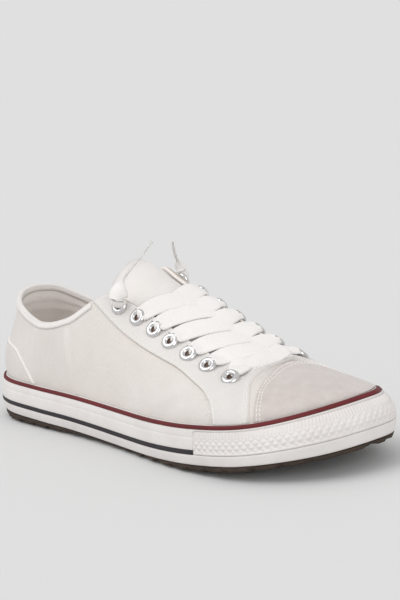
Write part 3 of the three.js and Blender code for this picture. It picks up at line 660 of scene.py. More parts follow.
CANVAS = cloth("canvas_outer", (0.764, 0.711, 0.673), (0.840, 0.797, 0.764), 0.45, 0.00010)
CANVAS_BRIGHT = cloth("canvas_eyestay", (0.778, 0.742, 0.716), (0.837, 0.810, 0.783), 0.45, 0.00010)
TONGUE_CLOTH = cloth("canvas_tongue", (0.845, 0.806, 0.778), (0.912, 0.878, 0.854), 0.45, 0.00008)
LINING = cloth("lining_twill", (0.86, 0.80, 0.755), (0.95, 0.90, 0.86), 0.6, 0.00010)
FOOTBED = cloth("footbed_cloth", (0.74, 0.68, 0.63), (0.86, 0.80, 0.75), 0.7, 0.00012)
TAPE = cloth("binding_tape", (0.86, 0.815, 0.785), (0.93, 0.895, 0.87), 0.35, 0.00008)
LACE = cloth("lace_weave", (0.825, 0.797, 0.773), (0.901, 0.882, 0.863), 0.6, 0.00009, sheen=0.25)
FOLDED_EDGE = cloth("folded_canvas_edge", (0.80, 0.755, 0.72), (0.88, 0.84, 0.81), 0.4, 0.00006)
# The canvas's cut edge, painted darker than its own colour as the shade in the seam's crease
CUT_EDGE_AND_SEAM_SHADE = cloth("canvas_cut_edge_and_seam_shade", (0.42, 0.36, 0.30), (0.58, 0.51, 0.44), 0.4, 0.00006)
SUEDE = suede("suede_cap", (0.544, 0.491, 0.465), (0.650, 0.597, 0.571))
SUEDE_EDGE = suede("suede_cut_edge", (0.504, 0.459, 0.432), (0.612, 0.567, 0.540))
RUBBER = rubber("foxing_rubber", (0.707, 0.670, 0.648), (0.774, 0.742, 0.725), 0.45)
RED = rubber("red_line_rubber", (0.106, 0.007, 0.009), (0.149, 0.010, 0.013), 0.6)
BLACK = rubber("black_line_rubber", (0.016, 0.013, 0.017), (0.030, 0.026, 0.030), 0.6)
TREAD_RUBBER = rubber("tread_rubber", (0.030, 0.019, 0.014), (0.062, 0.040, 0.029), 0.8)
METAL = metal("eyelet_metal")
# A dark colour that paints the shade inside each eyelet's bore
PAINTED_BORE_SHADE = rubber("painted_bore_shade", (0.10, 0.055, 0.04), (0.16, 0.10, 0.075), 0.8)
THREAD = cloth("sewing_thread", (0.84, 0.81, 0.78), (0.93, 0.90, 0.88), 0.2, 0.00003)
FILM = clear_film("clear_tag_film")


# Sole

SIDE_COLUMNS = 528
LINE_LOW = CUP_HEIGHT - 1.9


def closed_loops(name, rows, material):
    """Rows of points round the sole, bottom to top outside and then down inside, with ruled ends."""
    points = np.stack(rows)
    count = points.shape[1]
    extra = []
    for row, down in ((0, True), (len(points) - 1, False)):
        base = row * count
        extra += ruled(list(range(base, base + count)), down)
    return add_grid(name, points, material, round_columns=True, extra_faces=extra)


def under_bumper(s):
    return smooth(BUMPER_FROM, BUMPER_FROM + 0.02, s) * (1 - smooth(BUMPER_TO - 0.02, BUMPER_TO, s))


def sidewall():
    s = around(SIDE_COLUMNS)
    seat = under_bumper(s) * BUMPER_SEAT
    profile = [(0.0, 1.3), (0.15, 0.6), (0.5, 0.15), (1.2, 0.0), (2.6, 0.0), (4.0, 0.0), (5.2, 0.0),
               (BLACK_LOW, 0.1), (BLACK_LOW + 0.08, BLACK_DEPTH), (BLACK_HIGH - 0.08, BLACK_DEPTH),
               (BLACK_HIGH, 0.1), (BLACK_HIGH + 0.3, 0.0), (10.0, 0.0), (12.0, 0.0), (13.2, 0.0),
               (13.9, 0.0), (14.2, 0.15), (14.45, 0.2), (14.8, 0.1), (15.2, 0.0), (16.6, 0.0),
               (LINE_LOW - 0.5, 0.0), (LINE_LOW - 0.15, 0.12), (LINE_LOW, STRIPE_DEPTH + GAP)]
    rows = []
    for height, cut in profile:
        seated = BLACK_LOW < height < LINE_LOW - 0.6
        depth = np.maximum(cut, seat) if seated else cut
        rows.append(sole_side(s, side_inset(s, height) + depth, height))
    rows.append(sole_side(s, side_inset(s, CUP_HEIGHT) + STRIPE_DEPTH + GAP, CUP_HEIGHT - 0.2))
    rows.append(sole_side(s, side_inset(s, CUP_HEIGHT) + STRIPE_DEPTH + GAP + 0.2, CUP_HEIGHT))
    inside = station(s, "last") - GAP
    rows.append(sole_side(s, inside - 0.2, CUP_HEIGHT))
    rows.append(sole_side(s, inside, CUP_HEIGHT - 0.2))
    rows.append(sole_side(s, inside, 12.0))
    rows.append(sole_side(s, inside, FLOOR_THICKNESS))
    return closed_loops("sidewall", rows, RUBBER)


def stripe(name, stations, low, high, depth, round_ends, material):
    """A band with softly rounded edges, let into a groove of the side."""
    ease = 0.25
    ring = [(high, 0.35), (high - ease * 0.4, 0.12), (high - ease, 0.0), (low + ease, 0.0),
            (low + ease * 0.4, 0.12), (low, 0.35), (low, depth), (high, depth)]
    rows = [sole_side(stations, side_inset(stations, h) + inset, h) for h, inset in ring]
    points = np.stack(rows, 1)
    if round_ends:
        faces = grid_faces(len(stations), len(ring), True, True)[0].tolist()
    else:
        faces, _ = swept(points)
    return add_mesh(name, points, faces, material)


def bumper_relief(height, along):
    """How deep the bumper's face lies under its highest points: ridge, diamonds, step and ribs."""
    ridge = 0.35 * smooth(0.0, 0.3, np.abs(height - RIDGE_HEIGHT) - 0.3)
    p, q = along / DIAMOND_LENGTH, (height - 7.35) / DIAMOND_HEIGHT
    wave = [np.abs(2 * np.mod(v, 1.0) - 1.0) for v in (p + q / 2, p - q / 2)]
    diamond = 0.75 * np.minimum(1.0, np.maximum(wave[0], wave[1]) ** 1.5 * 1.1)
    rib = 0.6 * (0.5 - 0.5 * np.cos(2 * pi * along / RIB_PITCH)) ** 0.7
    in_diamonds = smooth(7.2, 7.5, height) * (1 - smooth(13.0, 13.3, height))
    in_ribs = smooth(13.9, 14.15, height) * (1 - smooth(17.0, 17.2, height))
    plain = 0.45 * (1 - in_diamonds) * (1 - in_ribs)
    return np.where(height < 7.2, ridge, in_diamonds * diamond + in_ribs * rib + plain)


def toe_bumper():
    columns = 560
    stations = np.linspace(BUMPER_FROM + 0.012, BUMPER_TO - 0.012, columns)
    along = lengths(sole_side(stations, side_inset(stations, 10.0), 10.0))
    heights = np.linspace(BUMPER_HIGH, BUMPER_LOW, 41)
    ends = np.minimum(along, along[-1] - along)
    rows = []
    for height in heights:
        depth = bumper_relief(height, along)
        depth = np.maximum(depth, 0.5 * (1 - smooth(0.0, 1.2, ends)))
        edge = 0.35 * (1 - smooth(0.0, 0.5, min(BUMPER_HIGH - height, height - BUMPER_LOW)))
        rows.append(sole_side(stations, side_inset(stations, height) + depth + edge, height))
    depth = BUMPER_SEAT - GAP
    for height in (BUMPER_LOW, 8.2, 11.0, 14.2, BUMPER_HIGH):
        rows.append(sole_side(stations, side_inset(stations, height) + depth, height))
    points = np.stack(rows, 1)
    faces, _ = swept(points)
    return add_mesh("toe_bumper_relief", points, faces, RUBBER)


OUTSOLE_INSET = 1.6
LUG_PITCH = 13.0
GROOVE_DEPTH = 1.1
ARCH_FROM = -60.0
ARCH_TO = 2.0


def side_width(x, outer_side):
    stations = np.linspace(0, 11, 900) if outer_side else np.linspace(22, 11, 900)
    line = sole_side(stations, OUTSOLE_INSET, 0.0)
    order = np.argsort(line[:, 0])
    return np.interp(x, line[order, 0], line[order, 1])


def outsole():
    slices, across = 420, 33
    ends = [sole_side(s, OUTSOLE_INSET, 0.0)[0] for s in (0.0, 11.0)]
    turn = np.linspace(-pi / 2, pi / 2, slices)
    share = (np.sin(turn) + 1) / 2
    share = 0.35 * share + 0.65 * np.linspace(0, 1, slices)
    x = mix(ends[0] + 0.02, ends[1] - 0.02, share)[:, None]
    v = np.linspace(0, 1, across)[None, :]
    edge_wave = 0.35 * np.sin(2 * pi * x / LUG_PITCH)
    low_side = side_width(x, True) - edge_wave * (1 - smooth(0, 0.04, v))
    high_side = side_width(x, False) + edge_wave * (1 - smooth(0, 0.04, v))
    y = mix(low_side, high_side, v)
    bottom = np.interp(x, TREAD["x"], TREAD["z"])
    lean = x + 1.6 * np.sin(y / 5.0)
    phase = np.mod(lean - (ends[0] + 8), LUG_PITCH)
    groove = smooth(0.0, 0.7, phase) * (1 - smooth(3.3, 4.0, phase))
    arch = smooth(ARCH_FROM - 2, ARCH_FROM, x) * (1 - smooth(ARCH_TO, ARCH_TO + 2, x))
    channel = np.exp(-((v - 0.5) / 0.02) ** 2) * 0.8
    rim = 1.6 * (1 - smooth(0, 0.05, v) + smooth(0.95, 1, v))
    under = bottom + GROOVE_DEPTH * groove * (1 - arch) + channel * (1 - arch) + rim
    x_full = np.broadcast_to(x, y.shape)
    low = np.stack([x_full, y, under], -1)
    top = np.stack([x_full, y, CUP_EDGE + lift(x_full) - GAP + 0 * y], -1)
    points = np.concatenate([low, top[:, ::-1]], 1)
    quads, _, _ = grid_faces(slices, 2 * across, True, False)
    last = (slices - 1) * 2 * across
    extra = []
    for base, down in ((0, True), (last, False)):
        for j in range(across - 1):
            entry = (base + j, base + j + 1, base + 2 * across - 2 - j, base + 2 * across - 1 - j)
            extra.append(tuple(reversed(entry)) if down else entry)
    return add_mesh("outsole_tread", points, quads.tolist() + extra, TREAD_RUBBER)


def footbed():
    s = around(264)
    inside = station(s, "last") + WALL + 2 * GAP
    low = FLOOR_THICKNESS + GAP
    high = low + INSOLE_THICKNESS
    profile = [(0.0, low), (0.0, high - 0.6), (0.4, high), (1.5, high + 0.3), (4.0, high - 0.1),
               (8.0, high - 0.6), (14.0, high - 0.8), (20.0, high - 0.8)]
    rows = [sole_side(s, inside + depth, height) for depth, height in profile]
    return closed_loops("footbed", rows, FOOTBED)


# Upper: the wall, its overlays and its binding

def wall():
    columns = 396
    s = around(columns)
    outer = np.concatenate([[-0.12, -0.04, 0.0], np.linspace(0.03, 0.985, 40), [1.0]])
    inner = np.concatenate([[1.0], np.linspace(0.985, 0.02, 26), [0.0, -0.5, -1.0]])
    rows = [skin(s, t, 0.0) for t in outer]
    edge, up, out = face(s, 1.0), unit(face(s, 1.0) - face(s, 0.97)), face_normal(s, 1.0)
    for aside, above in ((-0.35, 0.35), (-0.9, 0.5), (-1.45, 0.35)):
        rows.append(edge + out * aside + up * above)
    rows += [skin(s, t, -WALL) - face_normal(s, t) * lining_fold(s, t)[..., None] for t in inner]
    rows.append(skin(s, -1.0, 0.0))
    points = np.stack(rows)
    heights = np.concatenate([outer, [1.0, 1.0, 1.0], inner, [-1.0]]) * WALL_HEIGHT

    def cloth_uv(row, column):
        row = np.minimum(row, len(heights) - 1)
        return np.stack([column * COUNT / columns * STATION_LENGTH, heights[row]], -1)

    indices = []
    for i in range(len(rows)):
        lining = len(outer) + 1 <= i < len(rows) - 1
        indices += [1 if lining else 0] * columns
    return add_grid("canvas_wall", points, [CANVAS, LINING], cloth_uv, round_columns=True,
                    round_rows=True, indices=indices)


def lining_fold(s, t):
    """Two raised seam bands inside the collar."""
    s, t = np.broadcast_arrays(np.asarray(s, float), np.asarray(t, float))
    band = np.exp(-((t - 0.86) / 0.025) ** 2) + np.exp(-((t - 0.74) / 0.025) ** 2)
    collar = smooth(17.0, 17.6, s) + (1 - smooth(4.4, 5.0, s))
    return 0.9 * band * np.clip(collar, 0, 1)


# The overlays' lower edge over the rubber, as a share of the wall's height

FOOT = 0.004


def inside_outline(points, outline):
    x, y = points[:, 0][:, None], points[:, 1][:, None]
    ax, ay = outline[:, 0], outline[:, 1]
    bx, by = np.roll(ax, -1), np.roll(ay, -1)
    crosses = (ay > y) != (by > y)
    with np.errstate(divide="ignore", invalid="ignore"):
        at = ax + (y - ay) / (by - ay) * (bx - ax)
    return (np.sum(crosses & (x < at), axis=1) % 2) == 1


def edge_distance(points, outline, foot=-1.0):
    """Distance to an outline, without the part of it that runs along the foot."""
    a, b = outline, np.roll(outline, -1, axis=0)
    counted = (a[:, 1] > foot) | (b[:, 1] > foot)
    a, span = a[counted], (b - a)[counted]
    result = np.full(len(points), 1e9)
    for start, along in zip(a, span):
        length = max(float(along @ along), 1e-12)
        u = np.clip(((points - start) @ along) / length, 0, 1)
        gap = np.linalg.norm(points - start - u[:, None] * along, axis=1)
        result = np.minimum(result, gap)
    return result


def overlay(name, outline, material, edge_material, thickness=OVERLAY, step=1.3, round_edge=0.9,
            base=0.30, piping=0.0, folded=None):
    """Cloth laid over the wall inside a closed outline of stations and shares, edges rolled down."""
    ring = np.asarray(outline, float) * SCALE
    if np.sum(ring[:, 0] * np.roll(ring[:, 1], -1) - np.roll(ring[:, 0], -1) * ring[:, 1]) < 0:
        ring = ring[::-1]
    before, after = np.roll(ring, 1, axis=0), np.roll(ring, -1, axis=0)
    tangent = unit(after - before)
    inward = np.stack([-tangent[:, 1], tangent[:, 0]], -1)
    rings = [ring] + [ring + inward * depth for depth in (0.25 * round_edge, 0.6 * round_edge,
                                                          round_edge, 1.7 * round_edge)]
    low, high = ring.min(0), ring.max(0)
    cells = np.stack(np.meshgrid(np.arange(low[0], high[0], step),
                                 np.arange(low[1], high[1], step), indexing="ij"), -1).reshape(-1, 2)
    cells = cells[inside_outline(cells, ring)]
    cells = cells[edge_distance(cells, ring) > 1.7 * round_edge + 0.5 * step]
    kept = [ring]
    for extra in rings[1:]:
        good = inside_outline(extra, ring)
        good &= edge_distance(extra, ring) > 0.15 * round_edge
        kept.append(extra[good])
    points = np.concatenate(kept + [cells])
    result = delaunay_2d_cdt([Vector(p) for p in points], [], [list(range(len(ring)))], 1, 1e-5)
    flat = np.array([tuple(v) for v in result[0]])
    faces = [list(f) for f in result[2]]
    gap = edge_distance(flat, ring, foot=FOOT * WALL_HEIGHT + 0.01)
    share = np.clip(gap / round_edge, 0, 1)
    height = base + thickness * np.sqrt(np.clip(1 - (1 - share) ** 2, 0, 1)) - 0.25 * (1 - share)
    if piping:
        height = height + piping * np.exp(-((gap - 0.9) / 0.55) ** 2)
    places = flat / SCALE
    top = skin(places[:, 0], places[:, 1], height)
    under = skin(places[:, 0], places[:, 1], -0.4)
    count = len(flat)
    sides = {}
    for entry in faces:
        for i, a in enumerate(entry):
            sides[(a, entry[(i + 1) % len(entry)])] = True
    rim = [(a, a + count, b + count, b) for a, b in sides if (b, a) not in sides]
    back = [[v + count for v in reversed(entry)] for entry in faces]
    uv = np.concatenate([flat, flat])
    # Faces near the outline take the edge material: on the eyestays' cut edges, dark painted seam shade
    inner = [int(np.mean(gap[entry]) < 0.4 * round_edge) for entry in faces]
    indices = inner + [1] * len(rim) + [0] * len(back)
    materials = [material, edge_material]
    if folded:
        materials.append(FOLDED_EDGE)
        station_of = np.concatenate([places[:, 0], places[:, 0]])
        everything = faces + rim + back
        indices = [2 if index == 1 and folded(np.mean(station_of[list(entry)])) else index
                   for index, entry in zip(indices, everything)]
    return add_mesh(name, np.concatenate([top, under]), faces + rim + back, materials, uv=uv,
                    indices=indices)


def eyestay_outline():
    rear = seam_line(REAR_SEAM)
    front = seam_line(FRONT_SEAM)
    sole = np.stack([np.linspace(7.44, 8.25, 24)[1:-1], np.full(22, 0.0)], -1)
    middle = np.array([[11.0, t] for t in np.linspace(0.97, 0.99, 3)])
    throat = np.stack([np.linspace(10.95, 4.72, 170), np.full(170, 0.999)], -1)
    outline = np.concatenate([rear, sole, front, middle, throat])
    outline[:, 1] = np.clip(outline[:, 1], FOOT, 0.999)
    return outline


def flipped(outline):
    return np.stack([COUNT - outline[:, 0], outline[:, 1]], -1)[::-1]


def cap_outline():
    near = seam_line(CAP_SEAM)
    far = flipped(near)[1:]
    foot = np.stack([np.linspace(COUNT - 8.36, 8.36, 140)[1:-1], np.full(138, 0.0)], -1)
    outline = np.concatenate([near, far, foot])
    outline[:, 1] = np.maximum(outline[:, 1], FOOT)
    return outline


def counter_outline():
    near = seam_line(COUNTER_SEAM)
    far = np.stack([-near[:, 0], near[:, 1]], -1)[::-1][:-1]
    foot = np.stack([np.linspace(2.86, -2.86, 120)[1:-1], np.full(118, 0.0)], -1)
    outline = np.concatenate([far, near, foot])
    outline[:, 1] = np.maximum(outline[:, 1], FOOT)
    return outline


def collar_roll():
    """The binding folded over the collar's edge, from one eyestay round the heel to the other."""
    stations = np.linspace(17.38, COUNT + 4.62, 300)
    edge = face(stations, 1.0)
    up = unit(edge - face(stations, 0.9))
    out = face_normal(stations, 1.0)
    section = []
    for turn in np.linspace(0, pi, 13):
        section.append((-WALL / 2 + 1.6 * cos(turn), 0.1 + 1.1 * sin(turn)))
    section = [(0.6, -2.8), (0.7, -1.2)] + section + [(-2.5, -1.2), (-2.45, -2.8)]
    section += [(-2.0, -2.8), (-1.9, 0.0), (0.1, 0.0), (0.2, -2.8)]
    rows = [edge + out * aside + up * above for aside, above in section]
    points = np.stack(rows[::-1], 1)
    length = lengths(edge)
    faces, uv = swept(points, lambda row, column: np.stack([length[row], column * 0.7], -1))
    return add_mesh("collar_roll", points, faces, TAPE, uv=uv)


# Tongue

TONGUE_THICKNESS = 3.0
TONGUE_TOP_LENGTH = 6.0


def tongue():
    stations = np.linspace(8.95, 5.05, 110)
    margin = np.linspace(1, 0, 5)[:-1]
    across = np.linspace(0, 1, 49)
    rows = []
    for s in stations:
        under = float(tongue_at(s, "under"))
        keep = -WALL - GAP - float(tongue_at(s, "sink")) - 0.5
        left = face(s, 1 - under * margin) + face_normal(s, 1 - under * margin) * keep
        right = face(COUNT - s, 1 - under * margin) + face_normal(COUNT - s, 1 - under * margin) * keep
        rows.append(np.concatenate([left, over_throat(s, across, 0.5), right[::-1]]))
    last, before = rows[-1], rows[-8]
    middle = last[len(last) // 2]
    travel = unit(middle - before[len(before) // 2])
    for share in np.sin(np.linspace(0, pi / 2, 12))[1:]:
        width = 1 - 0.34 * (1 - np.sqrt(1 - share**2 * 0.999))
        rows.append(middle + (last - middle) * width + travel * TONGUE_TOP_LENGTH * share)
    sections = np.stack(rows)
    count = sections.shape[1]
    along = np.gradient(sections, axis=0)
    aside = np.gradient(sections, axis=1)
    normal = unit(np.cross(aside, along))
    normal[len(stations):] = normal[len(stations) - 1]
    total = len(rows)
    i, j = np.meshgrid(np.arange(total, dtype=float), np.arange(count, dtype=float), indexing="ij")
    uv = np.tile(np.stack([j, i * 1.2], -1).reshape(-1, 2), (2, 1))
    rim = np.minimum(np.minimum(j, count - 1 - j) / 2.5, (total - 1 - i) / 3.0)
    thick = 0.35 + 0.65 * np.sqrt(np.clip(1 - (1 - np.clip(rim, 0, 1)) ** 2, 0, 1))
    middle_depth = TONGUE_THICKNESS / 2
    hem = 0.25 * np.exp(-((total - 1 - i - 4.5) / 1.2) ** 2)
    top = sections - normal * (middle_depth * (1 - thick) + hem)[..., None]
    low = sections - normal * (middle_depth * (1 + thick))[..., None]
    points = np.concatenate([top, low])
    below = total * count
    quads, _, _ = grid_faces(total, count)
    upper_faces = quads.tolist()
    lower_faces = (quads[:, ::-1] + below).tolist()
    rim_faces = []
    for a in range(count - 1):
        rim_faces.append((a + 1, a, a + below, a + 1 + below))
        a += below - count
        rim_faces.append((a, a + 1, a + 1 + below, a + below))
    for a in range(0, below - count, count):
        rim_faces.append((a, a + count, a + count + below, a + below))
        a += count - 1
        rim_faces.append((a + count, a, a + below, a + count + below))
    return add_mesh("tongue_flap", points, upper_faces + lower_faces + rim_faces, TONGUE_CLOTH, uv=uv)


# Laces

LACE_THICKNESS = 1.1
SLANT_FROM = 0.5
SLANT_TO = 1.17
STRAIGHT_AT = 8.3
STRAIGHT_BOW = 0.2
TILT_STRAIGHT = 0.3
TILT_OUTER = 0.25
TILT_INNER = -0.2

# A ribbon's height over the tongue and its width, across the throat from its own eyelet's side

RIBBON_OVER = table("across height width", [
    (0.0, 4.0, 12.8),
    (0.1, 3.6, 13.8),
    (0.25, 2.9, 14.4),
    (0.4, 2.4, 14.4),
    (0.55, 2.1, 14.4),
    (0.7, 2.0, 14.4),
    (0.85, 1.7, 14.0),
    (0.95, 0.9, 13.0),
    (1.05, -0.8, 11.0),
])

# The other family of ribbons lies under it, but for its own end

RIBBON_UNDER = table("across height width", [
    (0.0, 3.7, 12.8),
    (0.1, 3.0, 13.8),
    (0.25, 2.0, 14.2),
    (0.4, 1.4, 14.0),
    (0.55, 1.2, 14.0),
    (0.7, 1.1, 14.0),
    (0.85, 1.0, 13.6),
    (0.95, 0.6, 12.4),
    (1.05, -0.4, 10.0),
])


def ribbon_points(line, ups, widths, fold, tilt, thickness):
    """Sections of a flat woven ribbon: rounded edges, turned down by a fold, tilted to overlap."""
    travel = unit(np.gradient(line, axis=0))
    ups = unit(ups - travel * np.sum(ups * travel, axis=1, keepdims=True))
    aside = np.cross(travel, ups)
    v = np.linspace(-1, 1, 17)
    edge = np.sqrt(np.clip(1 - v**8, 0, 1)) * 0.5
    cross = list(zip(v, edge)) + list(zip(v[::-1], -edge[::-1]))[1:-1]
    rows = []
    for x, half in cross:
        wave = 0.12 * np.sin(3 * pi * x) * np.clip(fold, 0, 1)
        height = half * thickness - x * x * fold + wave + x * tilt
        rows.append(line + aside * (x * widths / 2)[:, None] + ups * height[:, None])
    return np.stack(rows, 1)


def at_eyelet(index, outer_side, t_share, step, offset, width, fold):
    """A control of a ribbon on the eyestay, between its eyelet and the throat's edge."""
    place = EYELETS["s"][index] + step
    s = place if outer_side else COUNT - place
    t = mix(EYELETS["t"][index], 1.0, t_share)
    up = face_normal(s, t)
    return (face(s, t) + up * offset, up, width, fold)


def over_tongue(s, u, height, width):
    up = throat_normal(s, u)
    return (over_throat(s, u) + up * height, up, width, 0.3)


def leaving(index, outer_side, reach):
    """Out of the eyelet's bore, pinched, and over the ring's edge, opening as it goes."""
    return [at_eyelet(index, outer_side, 0.10, 0.04 * reach, -0.4, 4.2, 1.0),
            at_eyelet(index, outer_side, 0.16, 0.12 * reach, 2.2, 6.6, 1.4),
            at_eyelet(index, outer_side, 0.36, 0.33 * reach, 3.8, 10.0, 1.9),
            at_eyelet(index, outer_side, 0.68, 0.66 * reach, 2.6, 11.8, 1.1)]


def slanting(index, outer_side):
    start = EYELETS["s"][index]
    step = EYELETS["s"][index - 1] - start
    rows = RIBBON_OVER if outer_side else RIBBON_UNDER
    controls = leaving(index, outer_side, step * SLANT_FROM)
    for across, height, width in zip(rows["across"], rows["height"], rows["width"]):
        s = start + step * mix(SLANT_FROM, SLANT_TO, across)
        controls.append(over_tongue(s, across if outer_side else 1 - across, height, width))
    return controls


def straight_ribbon():
    reach = STRAIGHT_AT - EYELETS["s"][0]
    controls = leaving(0, True, reach)
    for across in np.linspace(0, 1, 9):
        s = STRAIGHT_AT + STRAIGHT_BOW * 4 * across * (1 - across)
        height = mix(2.2, 4.3, abs(2 * across - 1) ** 2)
        controls.append(over_tongue(s, across, height, 13.0))
    return controls + leaving(0, False, reach)[::-1]


def ribbon_mesh(controls, tilt):
    centres = np.array([entry[0] for entry in controls])
    line = line_through(centres, 0.8)
    keys = lengths(centres)
    keys = keys / keys[-1]
    share = np.linspace(0, 1, len(line))
    ups = np.stack([np.interp(share, keys, [entry[1][k] for entry in controls]) for k in range(3)], -1)
    widths = np.interp(share, keys, [entry[2] for entry in controls])
    folds = np.interp(share, keys, [entry[3] for entry in controls])
    points = ribbon_points(line, ups, widths, folds, tilt, LACE_THICKNESS)
    faces, uv = swept(points, lambda row, column: np.stack([column * 0.65, row * 0.8], -1))
    return points.reshape(-1, 3), faces, uv


def laces():
    """The ribbons that cross the throat: a straight one by the toe, then five slanting pairs."""
    parts = [(straight_ribbon(), TILT_STRAIGHT)]
    for index in range(1, len(EYELETS["s"]) - 1):
        parts += [(slanting(index, False), TILT_INNER), (slanting(index, True), TILT_OUTER)]
    all_points, all_faces, all_uv = [], [], []
    offset = 0
    for controls, tilt in parts:
        points, faces, uv = ribbon_mesh(controls, tilt)
        all_faces += [[v + offset for v in entry] for entry in faces]
        all_uv.append(uv)
        all_points.append(points)
        offset += len(points)
    return add_mesh("lace_ribbons", np.concatenate(all_points), all_faces, LACE,
                    uv=np.concatenate(all_uv))


LACE_CORE = 0.5
LACE_END_OUTER = [(-10.8, -22.0, 75.4), (-9.6, -23.2, 78.4), (-9.3, -23.1, 81.6),
                  (-9.6, -22.0, 84.8), (-10.4, -19.5, 87.6), (-11.4, -15.1, 90.6),
                  (-12.4, -5.0, 96.8), (-12.8, 1.8, 101.5), (-13.0, 7.4, 105.4)]
LACE_END_INNER = [(-10.6, 26.0, 80.9), (-12.6, 27.8, 83.4), (-13.4, 28.2, 86.6),
                  (-13.0, 26.6, 90.0), (-11.2, 23.6, 93.2), (-6.8, 18.0, 98.6),
                  (-1.3, 12.3, 104.7)]


def lace_end(name, route, tag_from, size):
    """A free end: a thin core, the lace crumpled round its first part, and the clear tag."""
    line = line_through(route, 0.6)
    length = lengths(line)
    core = np.full(len(line), LACE_CORE)
    piece = add_tube(name, tube_points(line, core, core, 12), LACE)
    grow = [(0.0, 2.6), (2.0, 4.0), (4.5, 5.0), (7.5, 5.1), (10.0, 4.3), (12.5, 2.8),
            (tag_from + 0.5, 1.2), (tag_from + 2.0, 0.7)]
    grow = line_through([(at, value, 0) for at, value in grow], 0.5)
    folded = length < tag_from + 2.0
    widths = np.interp(length[folded], grow[:, 0], grow[:, 1]) * size
    depths = np.minimum(widths, 0.35 + 0.55 * widths)
    fold = add_tube(name + "_fold", tube_points(line[folded], widths, depths, 20), LACE)
    tag_line = line[length >= tag_from]
    film = np.full(len(tag_line), LACE_CORE + 0.3)
    tag = add_tube(name.replace("end", "tag_film"), tube_points(tag_line, film, film, 12), FILM)
    return piece, fold, tag, line, float(length[-1])


def tube_points(line, widths, depths, sides):
    travel = unit(np.gradient(line, axis=0))
    aside = unit(np.cross(travel, np.array([0.15, 0.05, 1.0])))
    up = np.cross(aside, travel)
    turn = 2 * pi * np.arange(sides) / sides
    rows = [line + aside * (np.cos(a) * widths)[:, None] + up * (np.sin(a) * depths)[:, None]
            for a in turn]
    return np.stack(rows, 1)


def add_tube(name, points, material):
    faces, uv = swept(points, lambda row, column: np.stack([row * 0.6, column * 0.9], -1), True)
    return add_mesh(name, points, faces, material, uv=uv)


# Geometry Nodes: what repeats

def new_tree(name, **inputs):
    """An empty tree, its first node and its named inputs' sockets."""
    tree = bpy.data.node_groups.new(name, "GeometryNodeTree")
    tree.interface.new_socket("Geometry", in_out="INPUT", socket_type="NodeSocketGeometry")
    tree.interface.new_socket("Geometry", in_out="OUTPUT", socket_type="NodeSocketGeometry")
    sockets = {key: tree.interface.new_socket(key.title(), in_out="INPUT",
                                              socket_type="NodeSocket" + kind)
               for key, kind in inputs.items()}
    return tree, tree.nodes.new("NodeGroupInput"), sockets


def wire(tree, *joins):
    """Links, each given as a node, its output, the next node and its input."""
    for source, output, target, entry in joins:
        tree.links.new(source.outputs[output], target.inputs[entry])


def placed(tree, start, points, shape, turn, paint):
    """The last nodes of a tree: a turned copy of the shape on every point, made real and painted."""
    copies = tree.nodes.new("GeometryNodeInstanceOnPoints")
    real = tree.nodes.new("GeometryNodeRealizeInstances")
    shade = tree.nodes.new("GeometryNodeSetShadeSmooth")
    finish = tree.nodes.new("GeometryNodeSetMaterial")
    end = tree.nodes.new("NodeGroupOutput")
    wire(tree, (*points, copies, "Points"), (shape, "Mesh", copies, "Instance"),
         (turn, "Rotation", copies, "Rotation"), (copies, "Instances", real, "Geometry"),
         (real, "Geometry", shade, "Geometry"), (shade, "Geometry", finish, "Geometry"),
         (start, paint, finish, "Material"), (finish, "Geometry", end, "Geometry"))
    return copies


def stitch_tree():
    """Stitches along every line of a mesh: a small rounded thread for each pitch of the line."""
    tree, start, sockets = new_tree("stitches", pitch="Float", length="Float", width="Float",
                                    thread="Material")
    curve = tree.nodes.new("GeometryNodeMeshToCurve")
    points = tree.nodes.new("GeometryNodeCurveToPoints")
    points.mode = "LENGTH"
    shape = tree.nodes.new("GeometryNodeMeshIcoSphere")
    shape.inputs["Radius"].default_value = 0.5
    shape.inputs["Subdivisions"].default_value = 2
    turn = tree.nodes.new("FunctionNodeAlignRotationToVector")
    turn.axis = "X"
    size = tree.nodes.new("ShaderNodeCombineXYZ")
    copies = placed(tree, start, (points, "Points"), shape, turn, "Thread")
    wire(tree, (start, "Geometry", curve, "Mesh"), (curve, "Curve", points, "Curve"),
         (start, "Pitch", points, "Length"), (points, "Tangent", turn, "Vector"),
         (start, "Length", size, "X"), (start, "Width", size, "Y"), (start, "Width", size, "Z"),
         (size, "Vector", copies, "Scale"))
    return tree, sockets


def ring_tree():
    """A domed ring on every point of a mesh, turned to the direction stored with the point."""
    tree, start, sockets = new_tree("rings", radius="Float", band="Float", dome="Float",
                                    finish="Material")
    circle = tree.nodes.new("GeometryNodeCurvePrimitiveCircle")
    circle.inputs["Resolution"].default_value = 40
    section = tree.nodes.new("GeometryNodeCurvePrimitiveCircle")
    section.inputs["Resolution"].default_value = 14
    section.inputs["Radius"].default_value = 1.0
    squeeze = tree.nodes.new("GeometryNodeTransform")
    stretch = tree.nodes.new("ShaderNodeCombineXYZ")
    stretch.inputs["Z"].default_value = 1.0
    sweep = tree.nodes.new("GeometryNodeCurveToMesh")
    facing = tree.nodes.new("GeometryNodeInputNamedAttribute")
    facing.data_type = "FLOAT_VECTOR"
    facing.inputs["Name"].default_value = "facing"
    turn = tree.nodes.new("FunctionNodeAlignRotationToVector")
    turn.axis = "Z"
    placed(tree, start, (start, "Geometry"), sweep, turn, "Finish")
    wire(tree, (start, "Radius", circle, "Radius"), (start, "Band", stretch, "X"),
         (start, "Dome", stretch, "Y"), (section, "Curve", squeeze, "Geometry"),
         (stretch, "Vector", squeeze, "Scale"), (circle, "Curve", sweep, "Curve"),
         (squeeze, "Geometry", sweep, "Profile Curve"), (facing, "Attribute", turn, "Vector"))
    return tree, sockets


